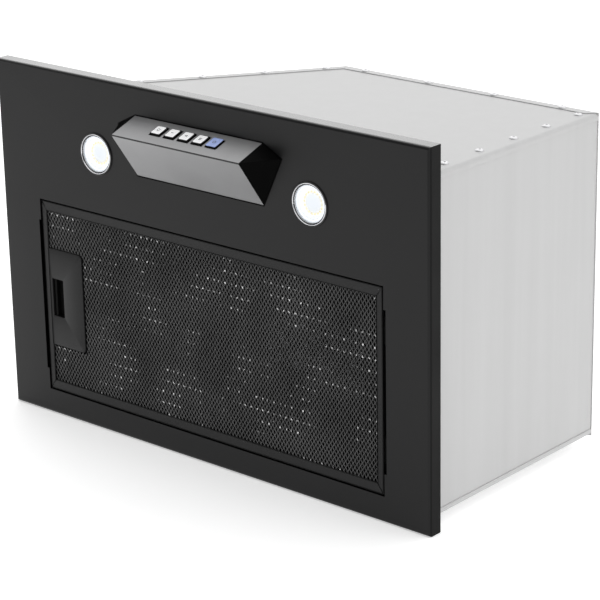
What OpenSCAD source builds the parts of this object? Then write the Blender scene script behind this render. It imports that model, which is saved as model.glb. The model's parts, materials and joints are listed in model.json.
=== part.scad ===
// Built-in range hood: a folded front panel with a swing-out grease filter, a control housing
// with five push buttons and two lamps, on a sheet-metal body that holds a scroll blower.
// The panel faces -Y and the duct leaves along +Y. The origin is the centre of the rim's rear
// edge, which meets the cabinet.

/* [Panel] */
// Width of the front panel
panel_w = 525; // [470:5:640]
// Height of the front panel
panel_h = 352; // [330:2:430]
// Depth of the rim folded back round the panel
rim_d = 15; // [12:1:20]
// Thickness of the panel sheet
panel_t = 1; // [0.8:0.1:1.2]
// Outside radius of the panel's folds
panel_bend_r = 3; // [2:0.5:4]

/* [Body] */
// Depth from the panel's face to the back wall
body_d = 260; // [250:5:330]
// Width of the back wall
back_w = 297.5; // [285:2.5:360]
// Distance of the right wall from the panel's edge
body_inset_right = 8.5; // [7:0.5:10]
// Distance of the slanted wall from the panel's edge, at the panel
body_inset_left = 24; // [20:1:28]
// Distance of the top cover from the panel's edge
body_inset_top = 28; // [22:1:30]
// Distance of the bottom cover from the panel's edge
body_inset_base = 10; // [8:1:11]
// Thickness of the body sheet
body_t = 0.8; // [0.6:0.1:1]
// Outside radius of the body's folds
body_bend_r = 4; // [3:0.5:5]
// Height of the lip that each cover folds over the right wall
cover_lip = 6.5; // [6:0.5:10]
// Gap between the rim and the start of that lip
lip_gap = 3; // [2:0.5:5]
// Width of the flanges that fold over the covers
strip_w = 9; // [8:0.5:12]
// Width of the right wall's hidden flanges
wall_flange_w = 18; // [16:1:22]

/* [Rivets] */
// Diameter of a rivet head
rivet_d = 8; // [5:0.5:8.5]
// Height of a rivet head
rivet_h = 1.6; // [1:0.1:2]
// Distance of the first rivet from the cabinet plane
rivet_start = 32; // [25:1:40]
// Distance of the side rivets from the right wall
rivet_inset = 12.5; // [10:0.5:14]
// Distance of the last side rivet from the back wall
rivet_end = 15; // [14:1:24]
// Share of a rivet head's width that its flat crown has
rivet_crown = 0.55; // [0.4:0.05:0.7]
// Number of rivets along the right edge
rivet_count_side = 5; // [4:1:6]
// Number of rivets along each of the other two edges
rivet_count_back = 4; // [3:1:5]
// First and last rivet on the back flange, as shares of its length
rivet_back_span = [0.095, 0.875]; // [0.08:0.005:0.9]
// First and last rivet on the slanted flange, as shares of the body's depth
rivet_slant_span = [0.32, 0.92]; // [0.3:0.01:0.93]

/* [Filter opening] */
// Width of the filter opening
opening_w = 424; // [350:2:430]
// Height of the filter opening
opening_h = 196; // [180:2:200]
// Distance of the opening from the panel's lower edge
opening_base = 25; // [24:1:30]
// Width of the notches in the opening's side edges
notch_w = 2.5; // [2:0.5:3]
// Height of those notches
notch_h = 153; // [130:1:160]
// Gap between the seat's wall and the opening's upper and lower edges
seat_gap = 3.5; // [3:0.5:4]
// Gap between the seat's wall and the opening's side edges
seat_side_gap = 5.5; // [5.5:0.5:7]
// Thickness of the seat's sheet
seat_t = 0.8; // [0.6:0.1:1]
// How far the seat's lip reaches in behind the filter
seat_lip = 6; // [4:0.5:7]
// Gap between the closed filter and the seat's lip
seat_play = 0.5; // [0.3:0.1:0.8]

/* [Filter] */
// Gap between the filter and the edge of its opening
filter_gap = 2; // [1.2:0.1:2.2]
// Depth of the filter
filter_d = 9.5; // [8.5:0.5:9.5]
// How far the filter sits behind the panel's face
filter_recess = 0.5; // [0.2:0.1:1]
// Width of the filter frame's upper and lower rails
rail_w = 10; // [8:0.5:12]
// Width of the filter frame's side rails
stile_w = 7.3; // [6:0.1:9]
// How far the mesh lies behind the frame's face
mesh_recess = 1.2; // [1:0.1:2]
// Thickness of the front and back meshes
mesh_t = 0.8; // [0.6:0.1:1.2]
// How far the meshes reach into the frame
mesh_grip = 4; // [3:0.5:5]
// Length of a hook tab
tab_h = 26; // [20:1:34]
// Distance of each hook tab from the filter's middle
tab_offset = 55; // [40:1:60]
// How far a hook tab stands out of the frame
tab_out = 5.5; // [4.5:0.1:6]
// How far a hook tab lies behind the filter's face
tab_y = 3.4; // [3:0.1:4]
// Thickness of a hook tab
tab_t = 1.2; // [1:0.1:1.5]

/* [Filter handle] */
// Width of the handle plate
handle_w = 43; // [40:1:55]
// Height of the handle plate
handle_h = 99.4; // [80:0.2:120]
// Depth of the handle plate
handle_d = 8; // [7.6:0.1:8.2]
// Radius of the handle's two free corners
handle_r = 4; // [2:0.5:6]
// Width of the finger slot
slot_w = 16; // [14:0.5:20]
// Height of the finger slot
slot_h = 38; // [30:1:50]
// Distance of the slot from the frame
slot_inset = 3.5; // [3:0.5:5]
// Travel of the latch slider
latch_travel = 5; // [3:0.5:6]
// Height of the latch tongue
tongue_h = 24; // [16:1:28]
// How far the tongue stands out of the frame
tongue_out = 2.2; // [1.5:0.1:2.3]
// Thickness of the latch slider
slider_t = 2.4; // [2:0.1:2.6]
// Running gap round the slider
slider_gap = 0.15; // [0.1:0.05:0.3]
// Depth of the slider behind the handle's face
slider_depth = 5; // [4.6:0.1:5.2]
// How far the slider runs on past the finger slot
slider_cover = 2; // [1.5:0.5:3]
// How far the slider overlaps the finger slot's edges
slider_lap = 1; // [0.5:0.5:2]
// Width of the rib that the finger pulls
rib_w = 2.5; // [2:0.1:4]
// Depth of the rib's edge behind the handle's face
rib_depth = 1; // [0.8:0.1:2]
// Gap round the rib at rest
rib_gap = 0.4; // [0.3:0.1:0.6]
// Diameter of the latch's return spring
spring_d = 2; // [1.6:0.1:2.2]
// Length of the latch's return spring
spring_l = 10; // [8:1:12]

/* [Control housing] */
// Length of the housing's straight edges on the panel
housing_w = 155; // [130:1:170]
// Length between the housing's pointed ends
housing_tip_w = 198.5; // [175:0.5:210]
// Distance of the housing's upper edge from the panel's upper edge
housing_top = 27.3; // [24:0.1:32]
// Height of the upper facet on the panel
facet_top_h = 11; // [9:0.5:14]
// Height of the housing on the panel
housing_h = 56.7; // [50:0.1:62]
// How far the ridge stands out of the panel
ridge_out = 31; // [26:0.5:36]
// Height of the flat along the ridge
ridge_flat = 1.5; // [1:0.1:2.5]
// Wall of the housing
housing_t = 2.2; // [1.8:0.1:2.4]
// Height of the hole in the panel behind the housing
cable_hole_h = 28; // [20:1:34]
// Distance of that hole from the ends of the housing's straight edges
cable_hole_inset = 15; // [10:1:30]

/* [Buttons] */
// Number of buttons
button_count = 5; // [3:1:5]
// Distance from one button to the next
button_pitch = 17; // [16:0.5:20]
// Width of a button
button_w = 12.7; // [11:0.1:13.5]
// Depth of a button along its facet
button_l = 13.8; // [11:0.1:15]
// Distance of the buttons from the facet's upper edge
button_inset = 7.9; // [7:0.1:9]
// How far a button stands out of its facet
button_out = 2.2; // [1.5:0.1:2.4]
// Gap round a button
button_gap = 0.6; // [0.4:0.1:0.8]
// Travel of a button
button_travel = 2.5; // [1.5:0.1:3]
// Height of a button's cap
button_cap = 4.2; // [3.8:0.1:5]
// Height of the raised crown on a cap
crown_h = 0.8; // [0.4:0.1:1]
// Distance of the crown from the cap's edges
crown_inset = 0.5; // [0.3:0.1:1]
// Width of a button's stem
stem_w = 4; // [3:0.5:5]
// Length of a button's stem
stem_l = 3; // [2:0.5:3]
// Width of the switch block
switch_w = 10; // [8:1:12]
// Height of the switch block
switch_h = 4; // [3.5:0.5:6]

/* [Lamps] */
// Distance of each lamp from the middle
lamp_offset = 131; // [122:1:160]
// Distance of the lamps from the panel's upper edge
lamp_drop = 73; // [68:1:90]
// Outside diameter of the lamp's ring
lamp_ring_d = 41; // [36:1:46]
// Diameter of the lamp's glass
lamp_glass_d = 34.4; // [30:0.2:38]
// Height of the ring above the panel
lamp_ring_h = 1.4; // [1:0.1:2]
// Length of the lamp's neck behind the panel
lamp_neck = 10; // [8:1:16]
// Gap between a lamp's neck and its hole in the panel
lamp_gap = 0.3; // [0.2:0.1:0.4]
// Number of LEDs in a lamp
led_count = 14; // [8:1:20]

/* [Blower] */
// Distance of the blower's middle from the right wall
blower_inset = 149; // [130:1:150]
// Distance of the impeller's axis behind the cabinet plane
blower_y = 118; // [114:1:122]
// Distance of the impeller's axis below the middle of the body
blower_drop = 52; // [48:1:54]
// Diameter of the impeller
impeller_d = 130; // [110:2:134]
// Width of the impeller
impeller_w = 96; // [70:2:100]
// Depth of the impeller's blade ring
blade_depth = 11; // [8:1:14]
// Number of impeller blades
blade_count = 32; // [24:1:40]
// Inside width of the scroll
scroll_w = 114; // [108:1:120]
// Inside radius of the scroll at its tongue
scroll_r = 72; // [70:1:74]
// Growth of the scroll's radius up to its outlet
scroll_growth = 40; // [34:1:44]
// Thickness of the scroll's sheet
scroll_t = 1; // [0.8:0.1:1.5]
// Diameter of the motor
motor_d = 84; // [70:1:90]
// Length of the motor
motor_l = 58; // [50:1:64]
// Diameter of the motor shaft
shaft_d = 8; // [6:1:10]
// Length of the impeller's hub
hub_l = 14; // [12:1:20]
// Length of the motor outside the scroll
motor_out = 20; // [16:1:24]
// Diameter of the motor's end boss
boss_d = 28; // [20:1:34]
// Height of that boss
boss_h = 4; // [3:0.5:6]
// Radial running gap of shafts and pins
running_gap = 0.05; // [0.02:0.01:0.08]

/* [Duct] */
// Outside diameter of the duct collar
duct_d = 120; // [100:1:125]
// Length of the duct collar
duct_l = 45; // [35:1:60]
// Wall of the duct collar
duct_t = 2; // [1.5:0.1:2.5]
// Width of the collar's flange
duct_flange_w = 9; // [7:0.5:12]
// Thickness of the collar's flange
duct_flange_t = 1.5; // [1.2:0.1:2]
// Distance of the damper pins from the back wall
flap_inset = 4; // [3.5:0.5:6]
// Gap round the closed flaps
flap_gap = 1.2; // [0.8:0.1:2]
// Distance of a damper pin's ends from the collar's outside
pin_inset = 0.7; // [0.3:0.1:1.2]
// Diameter of a damper pin
flap_pin_d = 4; // [3:0.5:5]
// Thickness of a damper flap
flap_t = 1; // [0.8:0.1:1.5]
// Distance of each damper pin from the collar's middle
flap_offset = 3.5; // [3:0.1:5]

/* [Electrics] */
// Bore of the cord gland
gland_bore = 8.4; // [6:0.2:10]
// Outside diameter of the cord gland
gland_d = 19; // [16:1:24]
// Length of the cord gland outside the body
gland_l = 14; // [10:1:20]
// Distance of the gland from the corner of the back wall
gland_inset = 43; // [38:1:50]
// Distance of the gland below the top cover
gland_drop = 56; // [52:1:60]
// Width and height of the terminal box
terminal_w = 56; // [50:1:66]
// Depth of the terminal box
terminal_d = 32; // [26:1:40]
// Wall of the terminal box
terminal_t = 2; // [1.5:0.1:3]
// Width of the LED driver
driver_w = 48; // [40:1:60]
// Depth of the LED driver
driver_d = 22; // [18:1:30]
// Height of the LED driver
driver_h = 44; // [36:1:50]
// Gap between the electric parts on the back wall
inner_gap = 16; // [10:1:18]
// Diameter of the capacitor
capacitor_d = 30; // [24:1:36]
// Length of the capacitor
capacitor_l = 56; // [45:1:70]
// Diameter of the wiring loom
loom_d = 6; // [5:0.5:8]

/* [Fixings] */
// Diameter of the hanging holes in the back wall
hanger_hole_d = 5.5; // [4.5:0.5:7]
// Distance of the hanging holes from the back wall's edges
hanger_inset = 19; // [17:1:22]
// Diameter of the panel's studs
stud_d = 4; // [3:0.5:5]
// Length of the panel's studs
stud_l = 9; // [8:1:14]
// Gap round a stud in the mounting frame
stud_gap = 0.2; // [0.1:0.05:0.3]
// Width across the corners of a nut
nut_d = 7; // [7:0.5:8]
// Height of a nut
nut_h = 3.2; // [2.4:0.1:4]
// Width of the mounting frame's legs
leg_w = 9; // [8:0.5:10]
// Depth of the mounting frame's legs
leg_d = 14; // [10:1:15]
// Thickness of the mounting frame
leg_t = 1.2; // [1:0.1:1.5]
// Distance of the mounting frame from the slanted wall's front edge
frame_gap = 4; // [3:0.5:6]
// Gap between the frame's legs and the slanted wall
leg_gap = 1; // [0.5:0.5:2]

/* [Hidden] */
$fn = 64;
eps = 0.01;
cut = 1;

// Planes of the panel
face_y = -rim_d;
sheet_y = face_y + panel_t;

// Planes of the body
right_x = panel_w / 2 - body_inset_right;
left_x = -panel_w / 2 + body_inset_left;
corner_x = right_x - back_w;
back_y = body_d - rim_d;
top_z = panel_h / 2 - body_inset_top;
base_z = -panel_h / 2 + body_inset_base;
mid_z = (top_z + base_z) / 2;
lip_y = lip_gap;
slant = (corner_x - left_x) / (back_y - sheet_y);
slant_cos = 1 / sqrt(1 + slant * slant);

// Filter opening and filter
open_x = opening_w / 2;
open_z0 = -panel_h / 2 + opening_base;
open_z1 = open_z0 + opening_h;
open_z = (open_z0 + open_z1) / 2;
filter_x = open_x - filter_gap;
filter_z = opening_h / 2 - filter_gap;
filter_y = face_y + filter_recess;
filter_back_y = filter_y + filter_d;
mesh_x = filter_x - stile_w;
mesh_z = filter_z - rail_w;
seat_y = filter_back_y + seat_play;

// Handle and latch, measured from the filter's left stile
handle_x = -mesh_x;
slot_x = handle_x + slot_inset;
slider_y = filter_y + slider_depth;
slider_x = slot_x + slot_w + slider_cover;
slider_h = slot_h + 2 * slider_lap;
pocket_x = slider_x + latch_travel + slider_lap;

// Control housing
housing_z1 = panel_h / 2 - housing_top;
housing_z0 = housing_z1 - housing_h;
ridge_z = housing_z1 - facet_top_h;
facet_l = sqrt(ridge_out * ridge_out + facet_top_h * facet_top_h);
facet_tilt = atan2(facet_top_h, ridge_out);
button_mid = button_inset + button_l / 2;

// Lamps
lamp_z = panel_h / 2 - lamp_drop;
neck_r = lamp_glass_d / 2 + 1;
lamp_board_y = face_y + lamp_neck - 4.5;
lamp_board_t = 1.5;
lens_t = 1.5;
lens_out = 0.5;
led_w = 2.9;
led_h = 0.8;
led_inset = 2.5;
cup_wall = 1.5;
cup_end = 6;

// Blower
blower_x = right_x - blower_inset;
blower_z = mid_z - blower_drop;
impeller_r = impeller_d / 2;
blade_r = impeller_r - blade_depth;
tongue_angle = 40;
scroll_sweep = 310;
scroll_steps = 62;
scroll_top = scroll_r + scroll_growth;
outlet_y = back_y - body_t - blower_y;
outlet_h = duct_d;
duct_z = blower_z + scroll_top - outlet_h / 2;
scroll_x = scroll_w / 2;
motor_r = motor_d / 2;
disc_x = blower_x + impeller_w / 2 - hub_l;
hub_wall = 6;
disc_t = 2;
hoop_w = 2;
blade_t = 1.2;
blade_edge = 0.5;
blade_lean = 4;
duct_r = duct_d / 2;
flap_y = back_y + flap_inset;

// Electrics
gland_x = corner_x + gland_inset;
gland_z = top_z - gland_drop;
gland_neck_r = gland_d / 2 - 3;
box_y = back_y - body_t - terminal_d;

black = [0.09, 0.09, 0.10];
steel = [0.80, 0.80, 0.80];
zinc = [0.66, 0.67, 0.69];
silver = [0.86, 0.86, 0.87];
mesh_black = [0.05, 0.05, 0.05];

// A box between two corners
module box(lo, hi) { translate(lo) cube(hi - lo); }

// Extrudes an XZ outline along Y, a YZ outline along X and an XY outline along Z
module along_y(y0, y1) {
    translate([0, y1, 0]) rotate([90, 0, 0]) linear_extrude(y1 - y0) children();
}
module along_x(x0, x1) {
    translate([x0, 0, 0]) rotate([90, 0, 90]) linear_extrude(x1 - x0) children();
}
module along_z(z0, z1) { translate([0, 0, z0]) linear_extrude(z1 - z0) children(); }

// A ring or disc whose axis runs along Y
module ring_y(x, z, r, bore, y0, y1) {
    along_y(y0, y1) translate([x, z]) difference() {
        circle(r);
        if (bore > 0) circle(bore);
    }
}

// Block whose front edges are rounded, centred on X and Z
module front_rounded(w, y0, y1, r) {
    translate([-w / 2, y0 + r]) square([w, y1 - y0 - r]);
    translate([-w / 2 + r, y0]) square([w - 2 * r, r + eps]);
    for (side = [-1, 1]) translate([side * (w / 2 - r), y0 + r]) circle(r);
}
module rounded_block(w, h, y0, y1, r) {
    intersection() {
        along_z(-h, h) front_rounded(w, y0, y1, r);
        rotate([0, 90, 0]) along_z(-w, w) front_rounded(h, y0, y1, r);
    }
}

// Rectangular frame whose middle is open
module window(x0, x1, z0, z1, y0, y1, side, rail) {
    difference() {
        box([x0, y0, z0], [x1, y1, z1]);
        box([x0 + side, y0 - cut, z0 + rail], [x1 - side, y1 + cut, z1 - rail]);
    }
}

// Places of the studs that hold the panel to the mounting frame
stud_span = -left_x;
stud_places = [for (across = [-0.8, -0.4, 0.4, 0.8])
    each [[across * stud_span, top_z - body_t - leg_w / 2 - leg_t / 2],
          [across * stud_span, base_z + body_t + leg_w / 2 + leg_t / 2]]];

module front_panel() color(black) {
    difference() {
        rounded_block(panel_w, panel_h, face_y, 0, panel_bend_r);
        rounded_block(panel_w - 2 * panel_t, panel_h - 2 * panel_t, sheet_y, 1,
            panel_bend_r - panel_t);
        box([-open_x, face_y - cut, open_z0], [open_x, sheet_y + cut, open_z1]);
        box([-open_x - notch_w, face_y - cut, open_z - notch_h / 2],
            [open_x + notch_w, sheet_y + cut, open_z + notch_h / 2]);
        for (side = [-1, 1])
            ring_y(side * lamp_offset, lamp_z, neck_r + lamp_gap, 0, face_y - cut, sheet_y + cut);
        box([-housing_w / 2 + cable_hole_inset, face_y - cut, ridge_z - cable_hole_h],
            [housing_w / 2 - cable_hole_inset, sheet_y + cut, ridge_z]);
    }
    for (place = stud_places)
        ring_y(place[0], place[1], stud_d / 2, 0, sheet_y - eps, sheet_y + stud_l);
}

// Sideways place of the slanted wall, d behind its outer face, at depth y
function slant_x(y, d) = left_x + (y - sheet_y) * slant + d / slant_cos;

// Quarter bend and lip at the right edge of a cover, for the upper side
module cover_edge(z) {
    translate([right_x - body_bend_r, z - body_bend_r]) intersection() {
        difference() {
            circle(body_bend_r);
            circle(body_bend_r - body_t);
        }
        square(body_bend_r + cut);
    }
    translate([right_x - body_t, z - cover_lip]) square([body_t, cover_lip - body_bend_r]);
}

module cover() {
    along_z(top_z - body_t, top_z) polygon([
        [slant_x(sheet_y, body_t), sheet_y],
        [right_x - body_bend_r, sheet_y],
        [right_x - body_bend_r, back_y - body_t],
        [slant_x(back_y - body_t, body_t), back_y - body_t]]);
    along_y(lip_y, back_y - body_t) cover_edge(top_z);
}

// Carries an upper piece of the body over to its lower side
module lower_side() { translate([0, 0, 2 * mid_z]) mirror([0, 0, 1]) children(); }

module top_cover() color(steel) cover();
module bottom_cover() color(steel) lower_side() cover();

module right_side_wall() color(steel) {
    wall_x = right_x - body_t;
    r = body_bend_r - body_t;
    box([wall_x - body_t, sheet_y, base_z + body_bend_r],
        [wall_x, back_y - body_t, top_z - body_bend_r]);
    for (low = [0, 1]) translate([0, 0, low * 2 * mid_z]) mirror([0, 0, low]) {
        along_y(lip_y, back_y - body_t) translate([wall_x - r, top_z - body_bend_r])
            intersection() {
                difference() {
                    circle(r);
                    circle(r - body_t);
                }
                square(r + cut);
            }
        box([right_x - wall_flange_w, lip_y, top_z - 2 * body_t],
            [wall_x - r, back_y - body_t, top_z - body_t]);
    }
}

// Flange folded over a cover along the slanted wall, mitred at the corner
mitre = [slant_x(back_y - strip_w, strip_w), back_y - strip_w];
module slanted_side_wall() color(steel) {
    along_z(base_z - body_t, top_z + body_t) polygon([
        [slant_x(sheet_y, 0), sheet_y],
        [slant_x(back_y - body_t, 0), back_y - body_t],
        [slant_x(back_y - body_t, body_t), back_y - body_t],
        [slant_x(sheet_y, body_t), sheet_y]]);
    for (z = [top_z, base_z - body_t]) along_z(z, z + body_t) polygon([
        [slant_x(0, body_t / 2), 0],
        [slant_x(back_y - body_t, body_t / 2), back_y - body_t],
        mitre,
        [slant_x(0, strip_w), 0]]);
}

module back_wall() color(steel) {
    difference() {
        along_z(base_z - body_t, top_z + body_t) polygon([
            [slant_x(back_y - body_t, 0), back_y - body_t],
            [corner_x, back_y], [right_x, back_y], [right_x, back_y - body_t]]);
        ring_y(blower_x, duct_z, duct_r - duct_t, 0, back_y - body_t - cut, back_y + cut);
        ring_y(gland_x, gland_z, gland_neck_r, 0, back_y - body_t - cut, back_y + cut);
        for (x = [corner_x + hanger_inset, right_x - hanger_inset],
             z = [base_z + hanger_inset, top_z - hanger_inset])
            ring_y(x, z, hanger_hole_d / 2, 0, back_y - body_t - cut, back_y + cut);
    }
    for (z = [top_z, base_z - body_t]) along_z(z, z + body_t) polygon([
        [slant_x(back_y - body_t, body_t / 2), back_y - body_t / 2],
        [right_x - body_t, back_y - body_t / 2],
        [right_x - body_t - strip_w, back_y - strip_w],
        mitre,
        [slant_x(back_y - body_t, body_t / 2), back_y - body_t]]);
}

// A rivet head that stands on the plane z
module rivet(x, y, z) {
    translate([x, y, z]) cylinder(h = rivet_h, d1 = rivet_d, d2 = rivet_d * rivet_crown);
}

function part_way(span, t) = span[0] + (span[1] - span[0]) * t;
module rivets() {
    side_run = back_y - rivet_end - rivet_start;
    for (i = [0 : rivet_count_side - 1])
        rivet(right_x - rivet_inset, rivet_start + side_run * i / (rivet_count_side - 1), top_z);
    for (i = [0 : rivet_count_back - 1]) {
        t = i / (rivet_count_back - 1);
        rivet(corner_x + back_w * part_way(rivet_back_span, t), back_y - strip_w / 2, top_z + body_t);
        slant_y = back_y * part_way(rivet_slant_span, t);
        rivet(slant_x(slant_y, strip_w / 2), slant_y, top_z + body_t);
    }
}
module top_rivets() color(silver) rivets();
module bottom_rivets() color(silver) lower_side() rivets();

// Frame of angle strips that stiffens the mouth of the body and takes the panel's studs
module mounting_frame() color(zinc) {
    inner_top = top_z - body_t;
    inner_base = base_z + body_t;
    inner_right = right_x - 2 * body_t;
    frame_left = left_x + frame_gap;
    difference() {
        window(frame_left, inner_right, inner_base, inner_top, sheet_y, sheet_y + leg_t,
            leg_w, leg_w);
        for (place = stud_places)
            ring_y(place[0], place[1], stud_d / 2 + stud_gap, 0, sheet_y - cut, sheet_y + leg_t + cut);
    }
    leg_left = slant_x(sheet_y + leg_d, body_t) + leg_gap;
    box([leg_left, sheet_y, inner_top - leg_t], [inner_right, sheet_y + leg_d, inner_top]);
    box([leg_left, sheet_y, inner_base], [inner_right, sheet_y + leg_d, inner_base + leg_t]);
    box([inner_right - leg_t, sheet_y, inner_base], [inner_right, sheet_y + leg_d, inner_top]);
}

module panel_nuts() color(silver)
    for (place = stud_places)
        along_y(sheet_y + leg_t, sheet_y + leg_t + nut_h) translate(place) difference() {
            circle(d = nut_d, $fn = 6);
            circle(stud_d / 2);
        }

// Tray behind the opening that the filter closes against
module filter_seat() color(black) {
    wall_x = open_x + seat_side_gap;
    wall_z0 = open_z0 - seat_gap;
    wall_z1 = open_z1 + seat_gap;
    window(-wall_x - seat_t, wall_x + seat_t, wall_z0 - seat_t, wall_z1 + seat_t,
        sheet_y, seat_y, seat_t, seat_t);
    window(-wall_x - seat_t, wall_x + seat_t, wall_z0 - seat_t, wall_z1 + seat_t,
        seat_y, seat_y + seat_t, seat_t + seat_side_gap + seat_lip, seat_t + seat_gap + seat_lip);
}

// Channel frame of the filter, open in the middle and grooved for the meshes
module filter_frame() color(black) {
    difference() {
        box([-filter_x, filter_y, open_z - filter_z], [filter_x, filter_back_y, open_z + filter_z]);
        box([-mesh_x, filter_y - cut, open_z - mesh_z], [mesh_x, filter_back_y + cut, open_z + mesh_z]);
        box([-mesh_x - mesh_grip, filter_y + mesh_recess, open_z - mesh_z - mesh_grip],
            [mesh_x + mesh_grip, filter_back_y - mesh_recess, open_z + mesh_z + mesh_grip]);
        box([-filter_x - cut, slider_y - slider_gap, open_z - tongue_h / 2 - slider_gap],
            [-mesh_x + cut, slider_y + slider_t + slider_gap, open_z + tongue_h / 2 + slider_gap]);
    }
}

// A mesh layer, cut away for the handle
module mesh_layer(y0, y1) {
    layer_x = mesh_x + mesh_grip;
    layer_z = mesh_z + mesh_grip;
    difference() {
        box([-layer_x, y0, open_z - layer_z], [layer_x, y1, open_z + layer_z]);
        box([-layer_x - cut, y0 - cut, open_z - handle_h / 2],
            [handle_x + handle_w, y1 + cut, open_z + handle_h / 2]);
    }
}
mesh_front_y = filter_y + mesh_recess;
mesh_back_y = filter_back_y - mesh_recess;
module filter_front_mesh() color(mesh_black) mesh_layer(mesh_front_y, mesh_front_y + mesh_t);
module filter_core_mesh() color(zinc) mesh_layer(mesh_front_y + mesh_t, mesh_back_y - mesh_t);
module filter_back_mesh() color(mesh_black) mesh_layer(mesh_back_y - mesh_t, mesh_back_y);

// Two hooks on the hinged stile that turn behind the panel
module filter_hook_tabs() color(black)
    for (side = [-1, 1])
        box([filter_x, filter_y + tab_y, open_z + side * tab_offset - tab_h / 2],
            [filter_x + tab_out, filter_y + tab_y + tab_t, open_z + side * tab_offset + tab_h / 2]);

// Outline of the handle, with rounded free corners
module handle_outline() {
    translate([handle_x, open_z - handle_h / 2]) square([handle_w - handle_r, handle_h]);
    translate([handle_x, open_z - handle_h / 2 + handle_r]) square([handle_w, handle_h - 2 * handle_r]);
    for (side = [-1, 1])
        translate([handle_x + handle_w - handle_r, open_z + side * (handle_h / 2 - handle_r)])
            circle(handle_r);
}

module filter_handle() color(black)
    difference() {
        along_y(filter_y, filter_y + handle_d) handle_outline();
        box([slot_x, filter_y - cut, open_z - slot_h / 2],
            [slot_x + slot_w, slider_y, open_z + slot_h / 2]);
        box([handle_x - cut, slider_y - slider_gap, open_z - slider_h / 2 - slider_gap],
            [pocket_x, slider_y + slider_t + slider_gap, open_z + slider_h / 2 + slider_gap]);
        box([pocket_x - cut, slider_y - slider_gap, open_z - spring_d],
            [slider_x + spring_l + latch_travel + slider_lap, slider_y + slider_t + slider_gap,
                open_z + spring_d]);
    }

module latch_slider() color([0.03, 0.03, 0.03]) {
    box([-filter_x - tongue_out, slider_y, open_z - tongue_h / 2],
        [slider_x, slider_y + slider_t, open_z + tongue_h / 2]);
    box([handle_x + rib_gap, slider_y, open_z - slider_h / 2],
        [slider_x, slider_y + slider_t, open_z + slider_h / 2]);
    box([slot_x + rib_gap, filter_y + rib_depth, open_z - slot_h / 2 + rib_gap],
        [slot_x + rib_gap + rib_w, slider_y, open_z + slot_h / 2 - rib_gap]);
}

module latch_spring() color(silver)
    along_x(slider_x, slider_x + spring_l) translate([slider_y + slider_t / 2, open_z])
        difference() {
            circle(d = spring_d);
            circle(d = spring_d / 2);
        }

// Outward directions, in Y and Z, of the upper and lower facets, and the way in from the ridge
upper_normal = [-facet_top_h, ridge_out] / facet_l;
lower_normal = [housing_z0 - ridge_z, -ridge_out] / norm([ridge_z - housing_z0, ridge_out]);
ridge_in = -(upper_normal + lower_normal) / (1 + upper_normal * lower_normal);

// Solid form of the control housing, with every facet drawn in by d
module housing_form(d) {
    straight = housing_w / 2 - d;
    tip = housing_tip_w / 2 - 2 * d;
    ridge_y = face_y - ridge_out + d * ridge_in[0];
    inner_ridge_z = ridge_z + d * ridge_in[1];
    hull() {
        box([-straight, face_y - eps, housing_z0 - d / lower_normal[1]],
            [straight, face_y, housing_z1 - d / upper_normal[1]]);
        box([-tip, face_y - eps, inner_ridge_z - eps], [tip, face_y, inner_ridge_z]);
        box([-straight, ridge_y, inner_ridge_z - ridge_flat],
            [straight, ridge_y + eps, inner_ridge_z]);
    }
}

// Moves a piece drawn on the upper facet, X along it, Y down it and Z out of it, into its place
module on_facet() {
    translate([0, face_y, housing_z1]) rotate([facet_tilt, 0, 0]) mirror([0, 1, 0]) children();
}
function button_x(i) = (i - (button_count - 1) / 2) * button_pitch;

module button_well(i) {
    translate([button_x(i) - button_w / 2 - button_gap, button_inset - button_gap, -2 * housing_t])
        cube([button_w + 2 * button_gap, button_l + 2 * button_gap, 3 * housing_t]);
}

module control_housing() color([0.16, 0.16, 0.17])
    difference() {
        housing_form(0);
        translate([0, eps, 0]) housing_form(housing_t);
        for (i = [0 : button_count - 1]) on_facet() button_well(i);
    }

// A button's cap with a bevelled crown, and the stem that reaches its switch
module button(i) {
    on_facet() translate([button_x(i), button_mid, 0]) {
        translate([-button_w / 2, -button_l / 2, button_out - button_cap])
            cube([button_w, button_l, button_cap - crown_h]);
        translate([-button_w / 2 + crown_inset, -button_l / 2 + crown_inset, button_out - crown_h])
            cube([button_w - 2 * crown_inset, button_l - 2 * crown_inset, crown_h]);
        translate([-stem_w / 2, -stem_w / 2, button_out - button_cap - stem_l])
            cube([stem_w, stem_w, stem_l]);
    }
}
module button_1() color(silver) button(0);
module button_2() color(silver) button(1);
module button_3() color(silver) button(2);
module button_4() color(silver) button(3);
module button_5() color([0.45, 0.55, 0.86]) button(4);

// Body of the push switches, which hangs from the upper facet on two posts under the buttons
// and lets each stem travel
stem_gap = 0.3;
post_w = 4;
switch_play = 0.5;
post_gap = 1;
switch_top = button_out - button_cap - button_travel - switch_play;
switch_end = button_x(button_count - 1) + button_w / 2 + button_gap + post_gap;
module switch_block() color([0.10, 0.10, 0.11])
    on_facet() difference() {
        union() {
            translate([-switch_end - post_w, button_mid - switch_w / 2, switch_top - switch_h])
                cube([2 * (switch_end + post_w), switch_w, switch_h]);
            for (x = [-switch_end - post_w, switch_end])
                translate([x, button_mid - switch_w / 2, switch_top - eps])
                    cube([post_w, switch_w, -housing_t - switch_top + eps]);
        }
        for (i = [0 : button_count - 1])
            translate([button_x(i) - stem_w / 2 - stem_gap, button_mid - stem_w / 2 - stem_gap,
                    switch_top - stem_l])
                cube([stem_w + 2 * stem_gap, stem_w + 2 * stem_gap, stem_l + cut]);
    }

board_t = 1.6;
board_w = switch_w + 2;
module control_board() color([0.05, 0.30, 0.14])
    on_facet() translate([-switch_end, button_mid - board_w / 2, switch_top - switch_h - board_t])
        cube([2 * switch_end, board_w, board_t]);

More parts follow.
